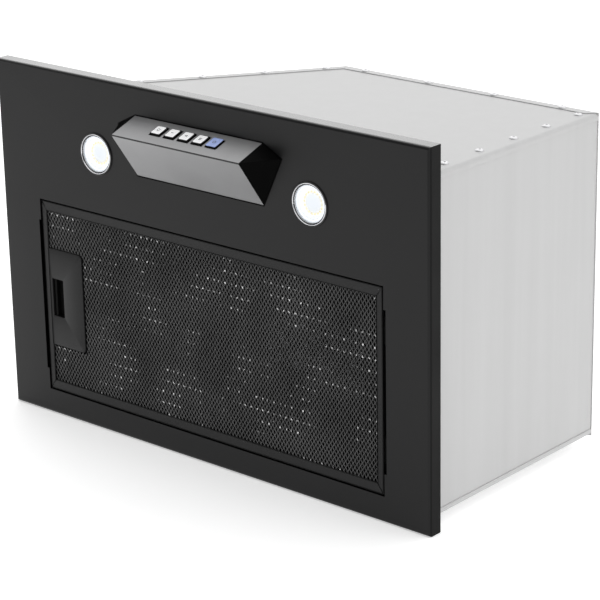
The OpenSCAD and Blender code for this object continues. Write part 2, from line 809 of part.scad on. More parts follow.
module lamp_ring(x) color(silver) {
    ring_y(x, lamp_z, lamp_ring_d / 2, lamp_glass_d / 2, face_y - lamp_ring_h, face_y);
    ring_y(x, lamp_z, neck_r, lamp_glass_d / 2, face_y - eps, face_y + lamp_neck);
}
module lamp_lens(x) color([0.95, 0.97, 1, 0.5])
    ring_y(x, lamp_z, lamp_glass_d / 2, 0, face_y - lens_out, face_y - lens_out + lens_t);
module lamp_board(x) color([0.97, 0.96, 0.92]) {
    led_x = lamp_glass_d / 2 - led_inset;
    ring_y(x, lamp_z, lamp_glass_d / 2, 0, lamp_board_y, lamp_board_y + lamp_board_t);
    for (i = [0 : led_count - 1])
        translate([x, 0, lamp_z]) rotate([0, 360 * i / led_count, 0])
            box([led_x - led_w, lamp_board_y - led_h, -led_w / 2],
                [led_x, lamp_board_y + eps, led_w / 2]);
}
module lamp_cup(x) color(zinc) {
    cup_r = neck_r + cup_wall;
    ring_y(x, lamp_z, cup_r, neck_r, sheet_y, face_y + lamp_neck);
    ring_y(x, lamp_z, cup_r, 0, face_y + lamp_neck, face_y + lamp_neck + cup_end);
}
module lamp_ring_left() lamp_ring(-lamp_offset);
module lamp_ring_right() lamp_ring(lamp_offset);
module lamp_lens_left() lamp_lens(-lamp_offset);
module lamp_lens_right() lamp_lens(lamp_offset);
module lamp_board_left() lamp_board(-lamp_offset);
module lamp_board_right() lamp_board(lamp_offset);
module lamp_cup_left() lamp_cup(-lamp_offset);
module lamp_cup_right() lamp_cup(lamp_offset);

// Side view of the scroll, grown by d: a spiral that widens from the tongue, and its outlet
tongue = scroll_r * [cos(tongue_angle), sin(tongue_angle)];
outlet_low = scroll_top - outlet_h;
throat = [outlet_y, outlet_low] - tongue;
throat_normal = [throat[1], -throat[0]] / norm(throat);
module scroll_outline(d) {
    polygon(concat([[0, 0]], [for (i = [0 : scroll_steps])
        let (a = tongue_angle - scroll_sweep * i / scroll_steps,
             r = scroll_r + d + scroll_growth * i / scroll_steps) r * [cos(a), sin(a)]]));
    polygon([[0, 0], [0, scroll_top + d], [outlet_y, scroll_top + d],
        [outlet_y, outlet_low - d], tongue + d * throat_normal]);
}
module at_blower() { translate([0, blower_y, blower_z]) children(); }

module scroll_wrap() color(zinc)
    at_blower() along_x(blower_x - scroll_x, blower_x + scroll_x) difference() {
        scroll_outline(scroll_t);
        scroll_outline(0);
    }
module scroll_side(x) color(zinc)
    at_blower() along_x(x, x + scroll_t) difference() {
        scroll_outline(scroll_t);
        circle(blade_r + 2);
    }
module scroll_side_left() scroll_side(blower_x - scroll_x - scroll_t);
module scroll_side_right() scroll_side(blower_x + scroll_x);

// Section of one forward-curved blade, from the drum's inside to its rim
module blade() {
    blade_mid = blade_r + blade_depth / 2;
    polygon([[blade_r + blade_edge, -blade_edge], [blade_mid, blade_edge],
        [impeller_r - blade_edge, blade_lean], [impeller_r - blade_edge / 2, blade_lean + blade_t],
        [blade_mid, blade_edge + blade_t], [blade_r + blade_edge, blade_t - blade_edge]]);
}

// Drum of forward-curved blades on a middle disc and two end rings
module impeller() color([0.24, 0.25, 0.27]) {
    x0 = blower_x - impeller_w / 2;
    x1 = blower_x + impeller_w / 2;
    at_blower() {
        for (x = [x0, x1 - hoop_w]) along_x(x, x + hoop_w) difference() {
            circle(impeller_r);
            circle(blade_r);
        }
        along_x(disc_x, disc_x + disc_t) difference() {
            circle(impeller_r);
            circle(shaft_d / 2);
        }
        along_x(disc_x, disc_x + hub_l) difference() {
            circle(shaft_d / 2 + hub_wall);
            circle(shaft_d / 2);
        }
        along_x(x0 + hoop_w / 2, x1 - hoop_w / 2) for (i = [0 : blade_count - 1])
            rotate(360 * i / blade_count) blade();
    }
}

motor_x0 = blower_x - scroll_x - scroll_t - motor_out;
shaft_end = 4;
module motor_shaft() color(silver)
    at_blower() along_x(motor_x0 - shaft_end, disc_x + hub_l) circle(shaft_d / 2);
module motor() color([0.55, 0.56, 0.58])
    at_blower() difference() {
        union() {
            along_x(motor_x0, motor_x0 + motor_l) circle(motor_r);
            along_x(motor_x0 + motor_l, motor_x0 + motor_l + boss_h) circle(d = boss_d);
        }
        along_x(motor_x0 - cut, motor_x0 + motor_l + boss_h + cut)
            circle(shaft_d / 2 + running_gap);
    }

// Clamp ring round the motor, with three arms that stand on the scroll's side
bracket_t = 2;
bracket_w = 14;
band_w = 10;
foot_l = 10;
screw_d = 7;
screw_h = 2.6;
bracket_x0 = motor_x0 + motor_out / 5;
bracket_foot = blower_x - scroll_x - scroll_t;
bracket_reach = blade_r + bracket_w;
module at_arms() { at_blower() for (i = [0 : 2]) rotate([120 * i + 60, 0, 0]) children(); }

module motor_bracket() color(zinc) {
    at_blower() along_x(bracket_x0, bracket_x0 + band_w) difference() {
        circle(motor_r + bracket_t);
        circle(motor_r);
    }
    at_arms() {
        box([bracket_x0, motor_r + bracket_t / 2, -bracket_w / 2],
            [bracket_x0 + bracket_t, bracket_reach, bracket_w / 2]);
        box([bracket_x0, bracket_reach - bracket_t, -bracket_w / 2],
            [bracket_foot, bracket_reach, bracket_w / 2]);
        box([bracket_foot - bracket_t, bracket_reach - bracket_t, -bracket_w / 2],
            [bracket_foot, bracket_reach + foot_l, bracket_w / 2]);
    }
}
module bracket_screws() color(silver)
    at_arms() translate([bracket_foot - bracket_t, bracket_reach + foot_l / 2, 0])
        rotate([0, -90, 0]) cylinder(h = screw_h, d = screw_d);

// Collar for the duct, with its flange on the back wall and bores for the damper pins
module duct_collar() color([0.12, 0.12, 0.13])
    difference() {
        union() {
            ring_y(blower_x, duct_z, duct_r, duct_r - duct_t, back_y, back_y + duct_l);
            ring_y(blower_x, duct_z, duct_r + duct_flange_w, duct_r - duct_t, back_y,
                back_y + duct_flange_t);
        }
        for (side = [-1, 1])
            translate([blower_x + side * flap_offset, flap_y, duct_z - duct_r])
                cylinder(h = duct_d, d = flap_pin_d + 2 * running_gap);
    }

// Half-round damper flap with its pin
module damper_flap(side) {
    pin_x = blower_x + side * flap_offset;
    flap_r = duct_r - duct_t - flap_gap;
    translate([pin_x, flap_y, duct_z - duct_r + pin_inset])
        cylinder(h = duct_d - 2 * pin_inset, d = flap_pin_d);
    intersection() {
        ring_y(blower_x, duct_z, flap_r, 0, flap_y - flap_t / 2, flap_y + flap_t / 2);
        box([side > 0 ? pin_x : blower_x - duct_r, flap_y - flap_t, duct_z - duct_r],
            [side > 0 ? blower_x + duct_r : pin_x, flap_y + flap_t, duct_z + duct_r]);
    }
}
module damper_flap_left() color(silver) damper_flap(-1);
module damper_flap_right() color(silver) damper_flap(1);

module cord_gland() color([0.10, 0.10, 0.10]) {
    ring_y(gland_x, gland_z, gland_d / 2, gland_bore / 2, back_y, back_y + gland_l);
    ring_y(gland_x, gland_z, gland_neck_r, gland_bore / 2, back_y - body_t - terminal_t, back_y + eps);
}

// Open box for the terminals, fixed inside the back wall, with its lid
module terminal_box() color([0.85, 0.85, 0.83])
    difference() {
        box([gland_x - terminal_w / 2, box_y, gland_z - terminal_w / 2],
            [gland_x + terminal_w / 2, back_y - body_t, gland_z + terminal_w / 2]);
        box([gland_x - terminal_w / 2 + terminal_t, box_y - cut, gland_z - terminal_w / 2 + terminal_t],
            [gland_x + terminal_w / 2 - terminal_t, back_y - body_t - terminal_t,
                gland_z + terminal_w / 2 - terminal_t]);
        ring_y(gland_x, gland_z, gland_neck_r, 0, back_y - body_t - terminal_t - cut, back_y);
    }
module terminal_lid() color([0.80, 0.80, 0.78])
    box([gland_x - terminal_w / 2, box_y - terminal_t, gland_z - terminal_w / 2],
        [gland_x + terminal_w / 2, box_y, gland_z + terminal_w / 2]);

driver_z = gland_z - terminal_w / 2 - driver_h - inner_gap;
module led_driver() color([0.90, 0.90, 0.88])
    box([gland_x - driver_w / 2, back_y - body_t - driver_d, driver_z],
        [gland_x + driver_w / 2, back_y - body_t, driver_z + driver_h]);
clip_t = 1;
clip_w = 12;
clip_foot = 8;
capacitor_y = back_y - body_t - clip_t - capacitor_d / 2;
capacitor_z = driver_z - inner_gap - capacitor_l;
module capacitor() color([0.75, 0.76, 0.78])
    translate([gland_x, capacitor_y, capacitor_z]) cylinder(h = capacitor_l, d = capacitor_d);

// Band round the capacitor, with a foot on the back wall
module capacitor_clip() color(zinc)
    along_z(capacitor_z + (capacitor_l - clip_w) / 2, capacitor_z + (capacitor_l + clip_w) / 2)
    difference() {
        union() {
            translate([gland_x, capacitor_y]) circle(capacitor_d / 2 + clip_t);
            translate([gland_x - capacitor_d / 2 - clip_foot, back_y - body_t - clip_t])
                square([capacitor_d + 2 * clip_foot, clip_t]);
        }
        translate([gland_x, capacitor_y]) circle(capacitor_d / 2);
    }

// Loom from the terminal box to the controls, in straight runs with ball corners
loom_drop = 8;
loom_end = 6;
loom_z = gland_z + terminal_w / 2 - loom_drop;
loom_route = [[gland_x, box_y - terminal_t, loom_z], [gland_x, blower_y, loom_z],
    [0, blower_y, loom_z], [0, sheet_y + loom_end, loom_z]];
module loom_run(a, b) {
    step = b - a;
    translate(a) rotate([0, acos(step[2] / norm(step)), atan2(step[1], step[0])])
        cylinder(h = norm(step), d = loom_d, $fn = 24);
}
module wiring_loom() color([0.12, 0.12, 0.12]) {
    for (i = [0 : len(loom_route) - 2]) loom_run(loom_route[i], loom_route[i + 1]);
    for (i = [1 : len(loom_route) - 2]) translate(loom_route[i]) sphere(d = loom_d, $fn = 24);
}

front_panel();
top_cover();
bottom_cover();
right_side_wall();
slanted_side_wall();
back_wall();
top_rivets();
bottom_rivets();
mounting_frame();
panel_nuts();
filter_seat();
filter_frame();
filter_front_mesh();
filter_core_mesh();
filter_back_mesh();
filter_hook_tabs();
filter_handle();
latch_slider();
latch_spring();
control_housing();
button_1();
button_2();
button_3();
button_4();
button_5();
switch_block();
control_board();
lamp_ring_left();
lamp_ring_right();
lamp_lens_left();
lamp_lens_right();
lamp_board_left();
lamp_board_right();
lamp_cup_left();
lamp_cup_right();
scroll_wrap();
scroll_side_left();
scroll_side_right();
impeller();
motor_shaft();
motor();
motor_bracket();
bracket_screws();
duct_collar();
damper_flap_left();
damper_flap_right();
cord_gland();
terminal_box();
terminal_lid();
led_driver();
capacitor();
capacitor_clip();
wiring_loom();
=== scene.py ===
"""Finishes a built-in range hood: satin black panel, expanded-metal filter, satin control
housing with five buttons, two LED lamps, grey sheet-metal body and duct collar."""

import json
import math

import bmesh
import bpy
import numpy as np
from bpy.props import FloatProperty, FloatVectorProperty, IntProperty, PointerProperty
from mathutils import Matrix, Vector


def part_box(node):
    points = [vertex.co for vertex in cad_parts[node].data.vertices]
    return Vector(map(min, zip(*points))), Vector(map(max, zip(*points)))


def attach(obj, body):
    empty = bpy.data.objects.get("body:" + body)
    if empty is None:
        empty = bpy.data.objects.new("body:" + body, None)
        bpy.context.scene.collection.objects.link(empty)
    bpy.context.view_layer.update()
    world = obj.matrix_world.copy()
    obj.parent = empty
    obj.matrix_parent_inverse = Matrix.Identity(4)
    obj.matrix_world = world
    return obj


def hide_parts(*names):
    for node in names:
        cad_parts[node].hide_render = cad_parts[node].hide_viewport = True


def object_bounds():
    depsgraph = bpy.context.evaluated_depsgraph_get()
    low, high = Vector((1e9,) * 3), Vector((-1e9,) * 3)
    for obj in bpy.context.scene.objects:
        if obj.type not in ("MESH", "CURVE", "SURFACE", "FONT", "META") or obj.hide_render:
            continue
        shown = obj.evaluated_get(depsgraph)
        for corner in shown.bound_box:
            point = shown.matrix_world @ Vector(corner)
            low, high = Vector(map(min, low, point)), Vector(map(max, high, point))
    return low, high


bl_info = {
    "name": "Range Hood Finish",
    "version": (1, 0, 0),
    "blender": (4, 5, 0),
    "location": "View3D > Sidebar > Range Hood",
    "description": "Builds the finished surfaces of a built-in range hood round its frame",
    "category": "Object",
}

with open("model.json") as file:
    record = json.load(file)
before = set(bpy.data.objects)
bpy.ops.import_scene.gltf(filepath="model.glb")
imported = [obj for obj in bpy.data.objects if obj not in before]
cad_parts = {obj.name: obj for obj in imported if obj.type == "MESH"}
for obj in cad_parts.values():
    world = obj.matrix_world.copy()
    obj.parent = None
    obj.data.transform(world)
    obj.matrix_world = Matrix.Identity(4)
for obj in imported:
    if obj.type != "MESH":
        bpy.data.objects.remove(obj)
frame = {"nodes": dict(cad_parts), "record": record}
CAD_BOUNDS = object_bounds()
BODY_OF = {n: b for b, nodes in frame["record"]["behaviour"]["bodies"].items() for n in nodes}
AXES = {j["name"]: Vector(j["axis"]) for j in frame["record"]["behaviour"]["joints"]}
MM = 0.001

# A frame mesh's faces bent less than FLAT are one face, and its edges bent more than SHARP are
# rounded. Points nearer than a weld distance are one point; edges below NO_LENGTH vanish.
FLAT, SHARP = math.radians(0.5), math.radians(28)
SMOOTH_BELOW = math.radians(35)
FRAME_WELD, HEAD_WELD, SURFACE_WELD, NO_LENGTH = 2e-6, 1e-6, 1e-7, 1e-8

# Sockets of a colour Mix node, whose names are shared by its other kinds
MIX_COLOUR_A, MIX_COLOUR_B, MIX_COLOUR_OUT = 6, 7, 2

# Nearly all values of a noise lie between these
NOISE_LOW, NOISE_HIGH = 0.3, 0.7

# Turned and lofted sections, as (inset from an edge, height) steps in millimetres
RING_RIM = ((0, 0), (0, 0.7), (0.3, 1.2), (0.7, 1.4), (1.1, 1.2), (1.3, 0.3))
RING_BARREL = ((-0.05, 0.3), (-0.05, -9.5), (-1.0, -9.5), (-1.0, 0))
LAMP_BEAD = ((1.2, 0.3), (1.25, 1.1), (1.6, 1.5), (2.0, 1.5), (2.3, 1.1), (2.4, 0.3))
DUCT_FLANGE = ((0, 0), (0, 1.1), (0.4, 1.5))
DUCT_ROOT = ((-1.2, 1.5), (-0.4, 1.9), (0, 2.8))
GLAND_NUT = ((3, -2.8), (3, 0), (0, 0), (0, 3.6), (0.8, 4.2), (0.8, 11), (2.6, 13.4))
GLAND_MOUTH = ((-1.2, 14), (0, 13.2))
BUTTON_SKIRT = ((0, -4.2), (0, -1.2), (0.8, -0.7))
BUTTON_CROWN = ((0, -0.7), (0, -0.45), (0.15, -0.25), (0.7, 0))

# The lamp's white dish, as (share of the glass's radius, height in millimetres) steps
LAMP_DISH = ((0.99, -1.4), (0.92, -1.4), (0.88, -3.0), (0.86, -3.0), (0.84, -2.0), (0.80, -2.0))


# --- Sizes and colours a user would change ---

def length(name, description, default, **limits):
    """A length in metres, shown in the scene's unit."""
    return FloatProperty(name=name, description=description, default=default, subtype="DISTANCE",
                         unit="LENGTH", precision=5, **limits)


def colour(name, description, default):
    """A linear colour without alpha."""
    return FloatVectorProperty(name=name, description=description, default=default, size=3,
                               subtype="COLOR", min=0.0, max=1.0)


class HoodSizes(bpy.types.PropertyGroup):
    """Sizes of the finished surfaces."""
    edge_round: length("Edge round", "Rounding of the cut edges of sheet parts", 0.22 * MM)
    housing_round: length("Housing round", "Rounding of the control housing's edges", 0.25 * MM)
    cell_w: length("Cell width", "Width of a cell of the expanded mesh", 4.3 * MM)
    cell_h: length("Cell height", "Height of a cell of the expanded mesh", 6.4 * MM)
    strand_w: length("Strand width", "Width of a strand of the expanded mesh", 0.80 * MM)
    strand_t: length("Strand thickness", "Thickness of a strand of the expanded mesh", 0.4 * MM)
    wave_pitch: length("Wave pitch", "From wave to wave of the filter's core", 11.4 * MM)
    # Spacing of the painted glints: white spots in the mesh paint that stand in for highlights.
    glint_pitch: length("Glint pitch", "From painted glint to painted glint along a row", 7.0 * MM)
    button_round: length("Button round", "Rounding of a button's corners", 1.1 * MM)
    led_count: IntProperty(name="LEDs", description="LEDs on one lamp's board", default=18, min=4)


class HoodColours(bpy.types.PropertyGroup):
    """Colours of the finishes."""
    panel: colour("Panel", "Satin paint of the panel and the filter", (0.0055, 0.0055, 0.0057))
    mesh: colour("Mesh", "Paint of the expanded mesh", (0.080, 0.080, 0.080))
    sheet: colour("Sheet", "Coated sheet of the body", (0.545, 0.545, 0.545))
    housing: colour("Housing", "Satin metallic paint of the control housing", (0.305, 0.305, 0.31))
    button: colour("Buttons", "Silver plastic of the buttons", (0.95, 0.95, 0.96))
    lit_button: colour("Lamp button", "Blue plastic of the lamp button", (0.34, 0.43, 0.74))
    zinc: colour("Zinc", "Galvanised inner parts", (0.50, 0.51, 0.53))


class HoodStage(bpy.types.PropertyGroup):
    """Camera and light of the studio."""
    azimuth: FloatProperty(name="Azimuth", description="Camera's turn round the hood, in degrees",
                           default=41.15)
    elevation: FloatProperty(name="Elevation", description="Camera's height, in degrees",
                             default=19.32)
    roll: FloatProperty(name="Roll", description="Camera's roll, in degrees", default=-1.13)
    lens: FloatProperty(name="Lens", description="Focal length in millimetres", default=144.2)
    distance: length("Distance", "From the camera to the point it aims at", 2.2055)
    aim: FloatVectorProperty(name="Aim", description="Point the camera aims at",
                             default=(0.0632, 0.0474, -0.0168), subtype="XYZ")
    daylight: FloatProperty(name="Daylight", description="Strength of the white surroundings",
                            default=1.0, min=0.0)


# --- Surfaces ---

def grid_quads(rows, cols, wrap_rows=False, wrap_cols=False):
    """Quads of a rows by cols grid of points: each joins a point to its next neighbour along
    the row, along the column and across. A wrapped side joins its last line to its first."""
    r, c = np.meshgrid(np.arange(rows - (not wrap_rows)), np.arange(cols - (not wrap_cols)),
                       indexing="ij")
    r_next, c_next = (r + 1) % rows, (c + 1) % cols
    corners = [r * cols + c, r * cols + c_next, r_next * cols + c_next, r_next * cols + c]
    return np.stack(corners, -1).reshape(-1, 4)


def rounded_outline(corners, radii, steps=6):
    """Outline of a convex polygon with round corners. Each corner is replaced by an arc that
    turns from one edge's normal to the next, about a centre one radius inside both edges."""
    corners = np.asarray(corners, float)
    radii = np.broadcast_to(np.asarray(radii, float), len(corners))
    before = corners - np.roll(corners, 1, axis=0)
    before /= np.linalg.norm(before, axis=1)[:, None]
    after = np.roll(before, -1, axis=0)
    normal_a = np.stack([before[:, 1], -before[:, 0]], 1)
    normal_b = np.stack([after[:, 1], -after[:, 0]], 1)
    inward = -(normal_a + normal_b) / (1 + np.sum(normal_a * normal_b, 1))[:, None]
    centres = corners + radii[:, None] * inward
    start = np.arctan2(normal_a[:, 1], normal_a[:, 0])
    turn = np.arctan2(normal_a[:, 0] * normal_b[:, 1] - normal_a[:, 1] * normal_b[:, 0],
                      np.sum(normal_a * normal_b, 1))
    angle = start[:, None] + turn[:, None] * np.linspace(0, 1, steps + 1)
    arcs = np.stack([np.cos(angle), np.sin(angle)], -1)
    return (centres[:, None] + radii[:, None, None] * arcs).reshape(-1, 2)


def rectangle(x0, x1, z0, z1):
    """Corners of a rectangle, anticlockwise."""
    return [(x0, z0), (x1, z0), (x1, z1), (x0, z1)]


def lathe(profile, centre, axis, steps=96):
    """Surface of revolution. A closed profile of (radius, height) points is turned round the
    axis: point = centre + height * axis + radius * (cos a * u + sin a * v)."""
    axis = Vector(axis).normalized()
    u = axis.orthogonal().normalized()
    v = axis.cross(u)
    angle = np.linspace(0, 2 * np.pi, steps, endpoint=False)[:, None, None]
    radius, height = np.asarray(profile, float).T[:, None, :, None]
    points = (np.array(centre) + height * np.array(axis)
              + radius * (np.cos(angle) * np.array(u) + np.sin(angle) * np.array(v)))
    return points.reshape(-1, 3), grid_quads(steps, len(profile), True, True)


def section(edge, steps):
    """Profile points from (inset, height) steps in millimetres, inset from an edge's radius."""
    return [(edge - inset * MM, height * MM) for inset, height in steps]


def joined(parts):
    """One list of points and one of quads from several (points, quads) pairs."""
    shifts = np.cumsum([0] + [len(points) for points, quads in parts[:-1]])
    points = np.concatenate([points for points, quads in parts])
    return points, np.concatenate([part[1] + shift for part, shift in zip(parts, shifts)])


def finish_mesh(mesh):
    """Merges doubled points, closes poles, turns every face outwards and smooths soft edges."""
    shape = bmesh.new()
    shape.from_mesh(mesh)
    bmesh.ops.remove_doubles(shape, verts=shape.verts, dist=SURFACE_WELD)
    bmesh.ops.dissolve_degenerate(shape, edges=shape.edges, dist=NO_LENGTH)
    bmesh.ops.recalc_face_normals(shape, faces=shape.faces)
    for face in shape.faces:
        face.smooth = True
    shape.to_mesh(mesh)
    shape.free()
    mesh.set_sharp_from_angle(angle=SMOOTH_BELOW)


def surface(name, points, quads, material, body, replaces=(), caps=()):
    """Makes a piece from points, quads and end caps, and lets it ride on a body."""
    mesh = bpy.data.meshes.new(name)
    faces = np.asarray(quads).tolist() + [np.asarray(cap).tolist() for cap in caps]
    mesh.from_pydata(np.asarray(points).tolist(), [], faces)
    finish_mesh(mesh)
    return placed(name, mesh, material, body, replaces)


def placed(name, mesh, material, body, replaces=()):
    """Links a mesh as a piece, with its material, body and replaced nodes."""
    thing = bpy.data.objects.new(name, mesh)
    bpy.context.scene.collection.objects.link(thing)
    mesh.materials.clear()
    mesh.materials.append(material)
    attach(thing, body)
    if replaces:
        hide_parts(*replaces)
    return thing


def softened(node, material, width, others=()):
    """A copy of a frame node with flat faces joined up and every sharp edge rounded. Each of
    the others is a (material, test) pair: it goes on the faces whose (normals, middles) pass."""
    mesh = frame["nodes"][node].data.copy()
    shape = bmesh.new()
    shape.from_mesh(mesh)
    bmesh.ops.remove_doubles(shape, verts=shape.verts, dist=FRAME_WELD)
    bmesh.ops.dissolve_limit(shape, angle_limit=FLAT, verts=shape.verts, edges=shape.edges)
    for face in shape.faces:
        face.smooth = True
    shape.to_mesh(mesh)
    shape.free()
    thing = placed(node + "_soft", mesh, material, BODY_OF[node], (node,))
    mesh.set_sharp_from_angle(angle=SHARP)
    normals, middles = face_table(mesh)
    index = np.zeros(len(normals), np.int32)
    for number, (other, test) in enumerate(others, 1):
        mesh.materials.append(other)
        index[test(normals, middles)] = number
    mesh.polygons.foreach_set("material_index", index)
    bevel = thing.modifiers.new("Rounded edges", "BEVEL")
    bevel.width = width
    bevel.segments = 2
    bevel.limit_method = "ANGLE"
    bevel.angle_limit = SHARP
    bevel.harden_normals = True
    return thing


def face_table(mesh):
    """Normal and middle of every face of a mesh, as two arrays."""
    table = np.empty((2, len(mesh.polygons) * 3))
    mesh.polygons.foreach_get("normal", table[0])
    mesh.polygons.foreach_get("center", table[1])
    return table.reshape(2, -1, 3)


def node_points(node):
    """Places of a frame node's points, as one array."""
    mesh = frame["nodes"][node].data
    points = np.empty(len(mesh.vertices) * 3)
    mesh.vertices.foreach_get("co", points)
    return points.reshape(-1, 3)


def extent(node, direction):
    """Lowest and highest place of a node's points along a direction."""
    along = node_points(node) @ np.array(direction)
    return along.min(), along.max()


# --- Materials ---

def node_group(name, inputs, outputs):
    """An empty shader group with float inputs {name: default} and outputs {name: socket type}."""
    group = bpy.data.node_groups.new(name, "ShaderNodeTree")
    for socket, default in inputs.items():
        made = group.interface.new_socket(socket, in_out="INPUT", socket_type="NodeSocketFloat")
        made.default_value = default
    for socket, kind in outputs.items():
        group.interface.new_socket(socket, in_out="OUTPUT", socket_type=kind)
    return group, group.nodes.new("NodeGroupInput"), group.nodes.new("NodeGroupOutput")


def add_node(tree, kind, links=(), **values):
    """Adds a node, sets its attributes and sockets by name, and links its inputs."""
    node = tree.nodes.new("ShaderNode" + kind)
    for key, value in values.items():
        if hasattr(node, key):
            setattr(node, key, value)
        else:
            node.inputs[key.replace("_", " ")].default_value = value
    for socket, source in dict(links).items():
        tree.links.new(source, node.inputs[socket])
    return node


def grain_group():
    """Fine paint or moulding grain: Height is noise with Scale grains to the metre; Mask is
    much slower noise, for smudges of tone and gloss."""
    if made := bpy.data.node_groups.get("Fine Grain"):
        return made
    group, given, result = node_group("Fine Grain", {"Scale": 2000.0},
                                      {"Height": "NodeSocketFloat", "Mask": "NodeSocketFloat"})
    where = add_node(group, "TexCoord").outputs["Object"]
    fine = add_node(group, "TexNoise", {"Vector": where, "Scale": given.outputs["Scale"]},
                    Detail=2.0, Roughness=0.6)
    slow = add_node(group, "TexNoise", {"Vector": where}, Scale=14.0, Detail=4.0, Roughness=0.62)
    group.links.new(fine.outputs["Fac"], result.inputs["Height"])
    group.links.new(slow.outputs["Fac"], result.inputs["Mask"])
    return group


def streak_group():
    """Rolling marks of sheet metal: noise drawn out along Z, fine across it."""
    if made := bpy.data.node_groups.get("Rolling Streaks"):
        return made
    group, given, result = node_group("Rolling Streaks", {"Density": 1.0},
                                      {"Streak": "NodeSocketFloat"})
    where = add_node(group, "TexCoord").outputs["Object"]
    drawn = add_node(group, "Mapping", {"Vector": where}, Scale=(60.0, 60.0, 2.5))
    marks = add_node(group, "TexNoise", {"Vector": drawn.outputs["Vector"],
                                         "Scale": given.outputs["Density"]},
                     Detail=5.0, Roughness=0.55)
    group.links.new(marks.outputs["Fac"], result.inputs["Streak"])
    return group


def finish(name, base, roughness, metallic=0.0, spread=0.08, tone=0.12, grain=2000.0,
           bump=0.05, streaks=0.0, **sockets):
    """A surface finish: base colour varied by tone with slow smudges and streaks, roughness
    varied by spread, and a fine grain in relief."""
    if name in bpy.data.materials:
        return bpy.data.materials[name]
    made = bpy.data.materials.new(name)
    made.use_nodes = True
    tree = made.node_tree
    shader = tree.nodes["Principled BSDF"]
    shader.inputs["Metallic"].default_value = metallic
    for socket, value in sockets.items():
        shader.inputs[socket.replace("_", " ")].default_value = value
    fine = add_node(tree, "Group", node_tree=grain_group(), Scale=grain)
    mask = fine.outputs["Mask"]
    if streaks:
        rolled = add_node(tree, "Group", node_tree=streak_group())
        mixed = add_node(tree, "Mix", {"A": mask, "B": rolled.outputs["Streak"]}, Factor=streaks)
        mask = mixed.outputs["Result"]
    low, high = [tuple(min(1.0, c * (1 + sign * tone)) for c in base) + (1.0,) for sign in (-1, 1)]
    ramp = add_node(tree, "ValToRGB", {"Fac": mask})
    for stop, place, shade in zip(ramp.color_ramp.elements, (NOISE_LOW, NOISE_HIGH), (low, high)):
        stop.position, stop.color = place, shade
    tree.links.new(ramp.outputs["Color"], shader.inputs["Base Color"])
    gloss = add_node(tree, "MapRange", {"Value": mask}, From_Min=NOISE_LOW, From_Max=NOISE_HIGH,
                     To_Min=max(0.02, roughness - spread), To_Max=roughness + spread)
    tree.links.new(gloss.outputs["Result"], shader.inputs["Roughness"])
    relief = add_node(tree, "Bump", {"Height": fine.outputs["Height"]}, Strength=bump,
                      Distance=0.1 * MM)
    tree.links.new(relief.outputs["Normal"], shader.inputs["Normal"])
    return made


def colours():
    """The user's colours."""
    return bpy.context.scene.hood_colours


def sizes():
    """The user's sizes."""
    return bpy.context.scene.hood_sizes


def panel_paint():
    return finish("Satin black paint", colours().panel, 0.34, spread=0.04, tone=0.10, bump=0.08,
                  grain=1800.0, Specular_IOR_Level=0.23)


def filter_paint():
    return finish("Filter black paint", colours().panel, 0.40, spread=0.05, tone=0.12, bump=0.12,
                  grain=1500.0, Specular_IOR_Level=0.27)


# A darker, duller copy of the panel paint for the side rims: painted shade.
def rim_side_shaded_paint():
    return finish("Rim side shaded paint", (0.004, 0.004, 0.004), 0.5, tone=0.2, bump=0.08,
                  grain=1800.0, Specular_IOR_Level=0.10)


# A glossier copy of the panel paint for the top rim: a painted sheen that lights it up.
def rim_top_sheen_paint():
    return finish("Rim top painted sheen", colours().panel, 0.26, spread=0.04, tone=0.1, bump=0.05,
                  grain=1800.0, Specular_IOR_Level=0.5, Coat_Weight=0.5, Coat_Roughness=0.2,
                  Coat_IOR=1.6)


def glint_group():
    """Rows of painted glints: the height runs through a sine of Turns radians a metre, and only
    its lowest part, from start to full, counts. A like sine of Steps along X parts the rows into
    spots, and slow noise leaves them only in patches."""
    if made := bpy.data.node_groups.get("Glint Rows"):
        return made
    group, given, result = node_group("Glint Rows", {"Turns": 1.0, "Steps": 1.0},
                                      {"Glint Mask": "NodeSocketFloat"})
    where = add_node(group, "TexCoord").outputs["Object"]
    place = add_node(group, "SeparateXYZ", {"Vector": where})
    patches = add_node(group, "TexNoise", {"Vector": where}, Scale=30.0, Detail=3.0)
    mask = add_node(group, "MapRange", {"Value": patches.outputs["Fac"]}, From_Min=0.50,
                    From_Max=0.66, To_Min=0.0, To_Max=1.0).outputs["Result"]
    for axis, rate, start, full in (("Z", "Turns", -0.86, -0.96), ("X", "Steps", -0.45, -0.85)):
        turned = add_node(group, "Math", {0: place.outputs[axis], 1: given.outputs[rate]},
                          operation="MULTIPLY")
        wave = add_node(group, "Math", {0: turned.outputs["Value"]}, operation="SINE")
        top = add_node(group, "MapRange", {"Value": wave.outputs["Value"]}, From_Min=start,
                       From_Max=full, To_Min=0.0, To_Max=1.0)
        mask = add_node(group, "Math", {0: mask, 1: top.outputs["Result"]},
                        operation="MULTIPLY").outputs["Value"]
    group.links.new(mask, result.inputs["Glint Mask"])
    return group


# Near-black foil for the core's waved sheets: painted shade for the depth behind the front mesh.
def core_foil_painted_shade():
    return finish("Core foil painted dark as shade", (0.008, 0.008, 0.008), 0.5, spread=0.1, tone=0.4, bump=0.5,
                  grain=260.0, Specular_IOR_Level=0.06)


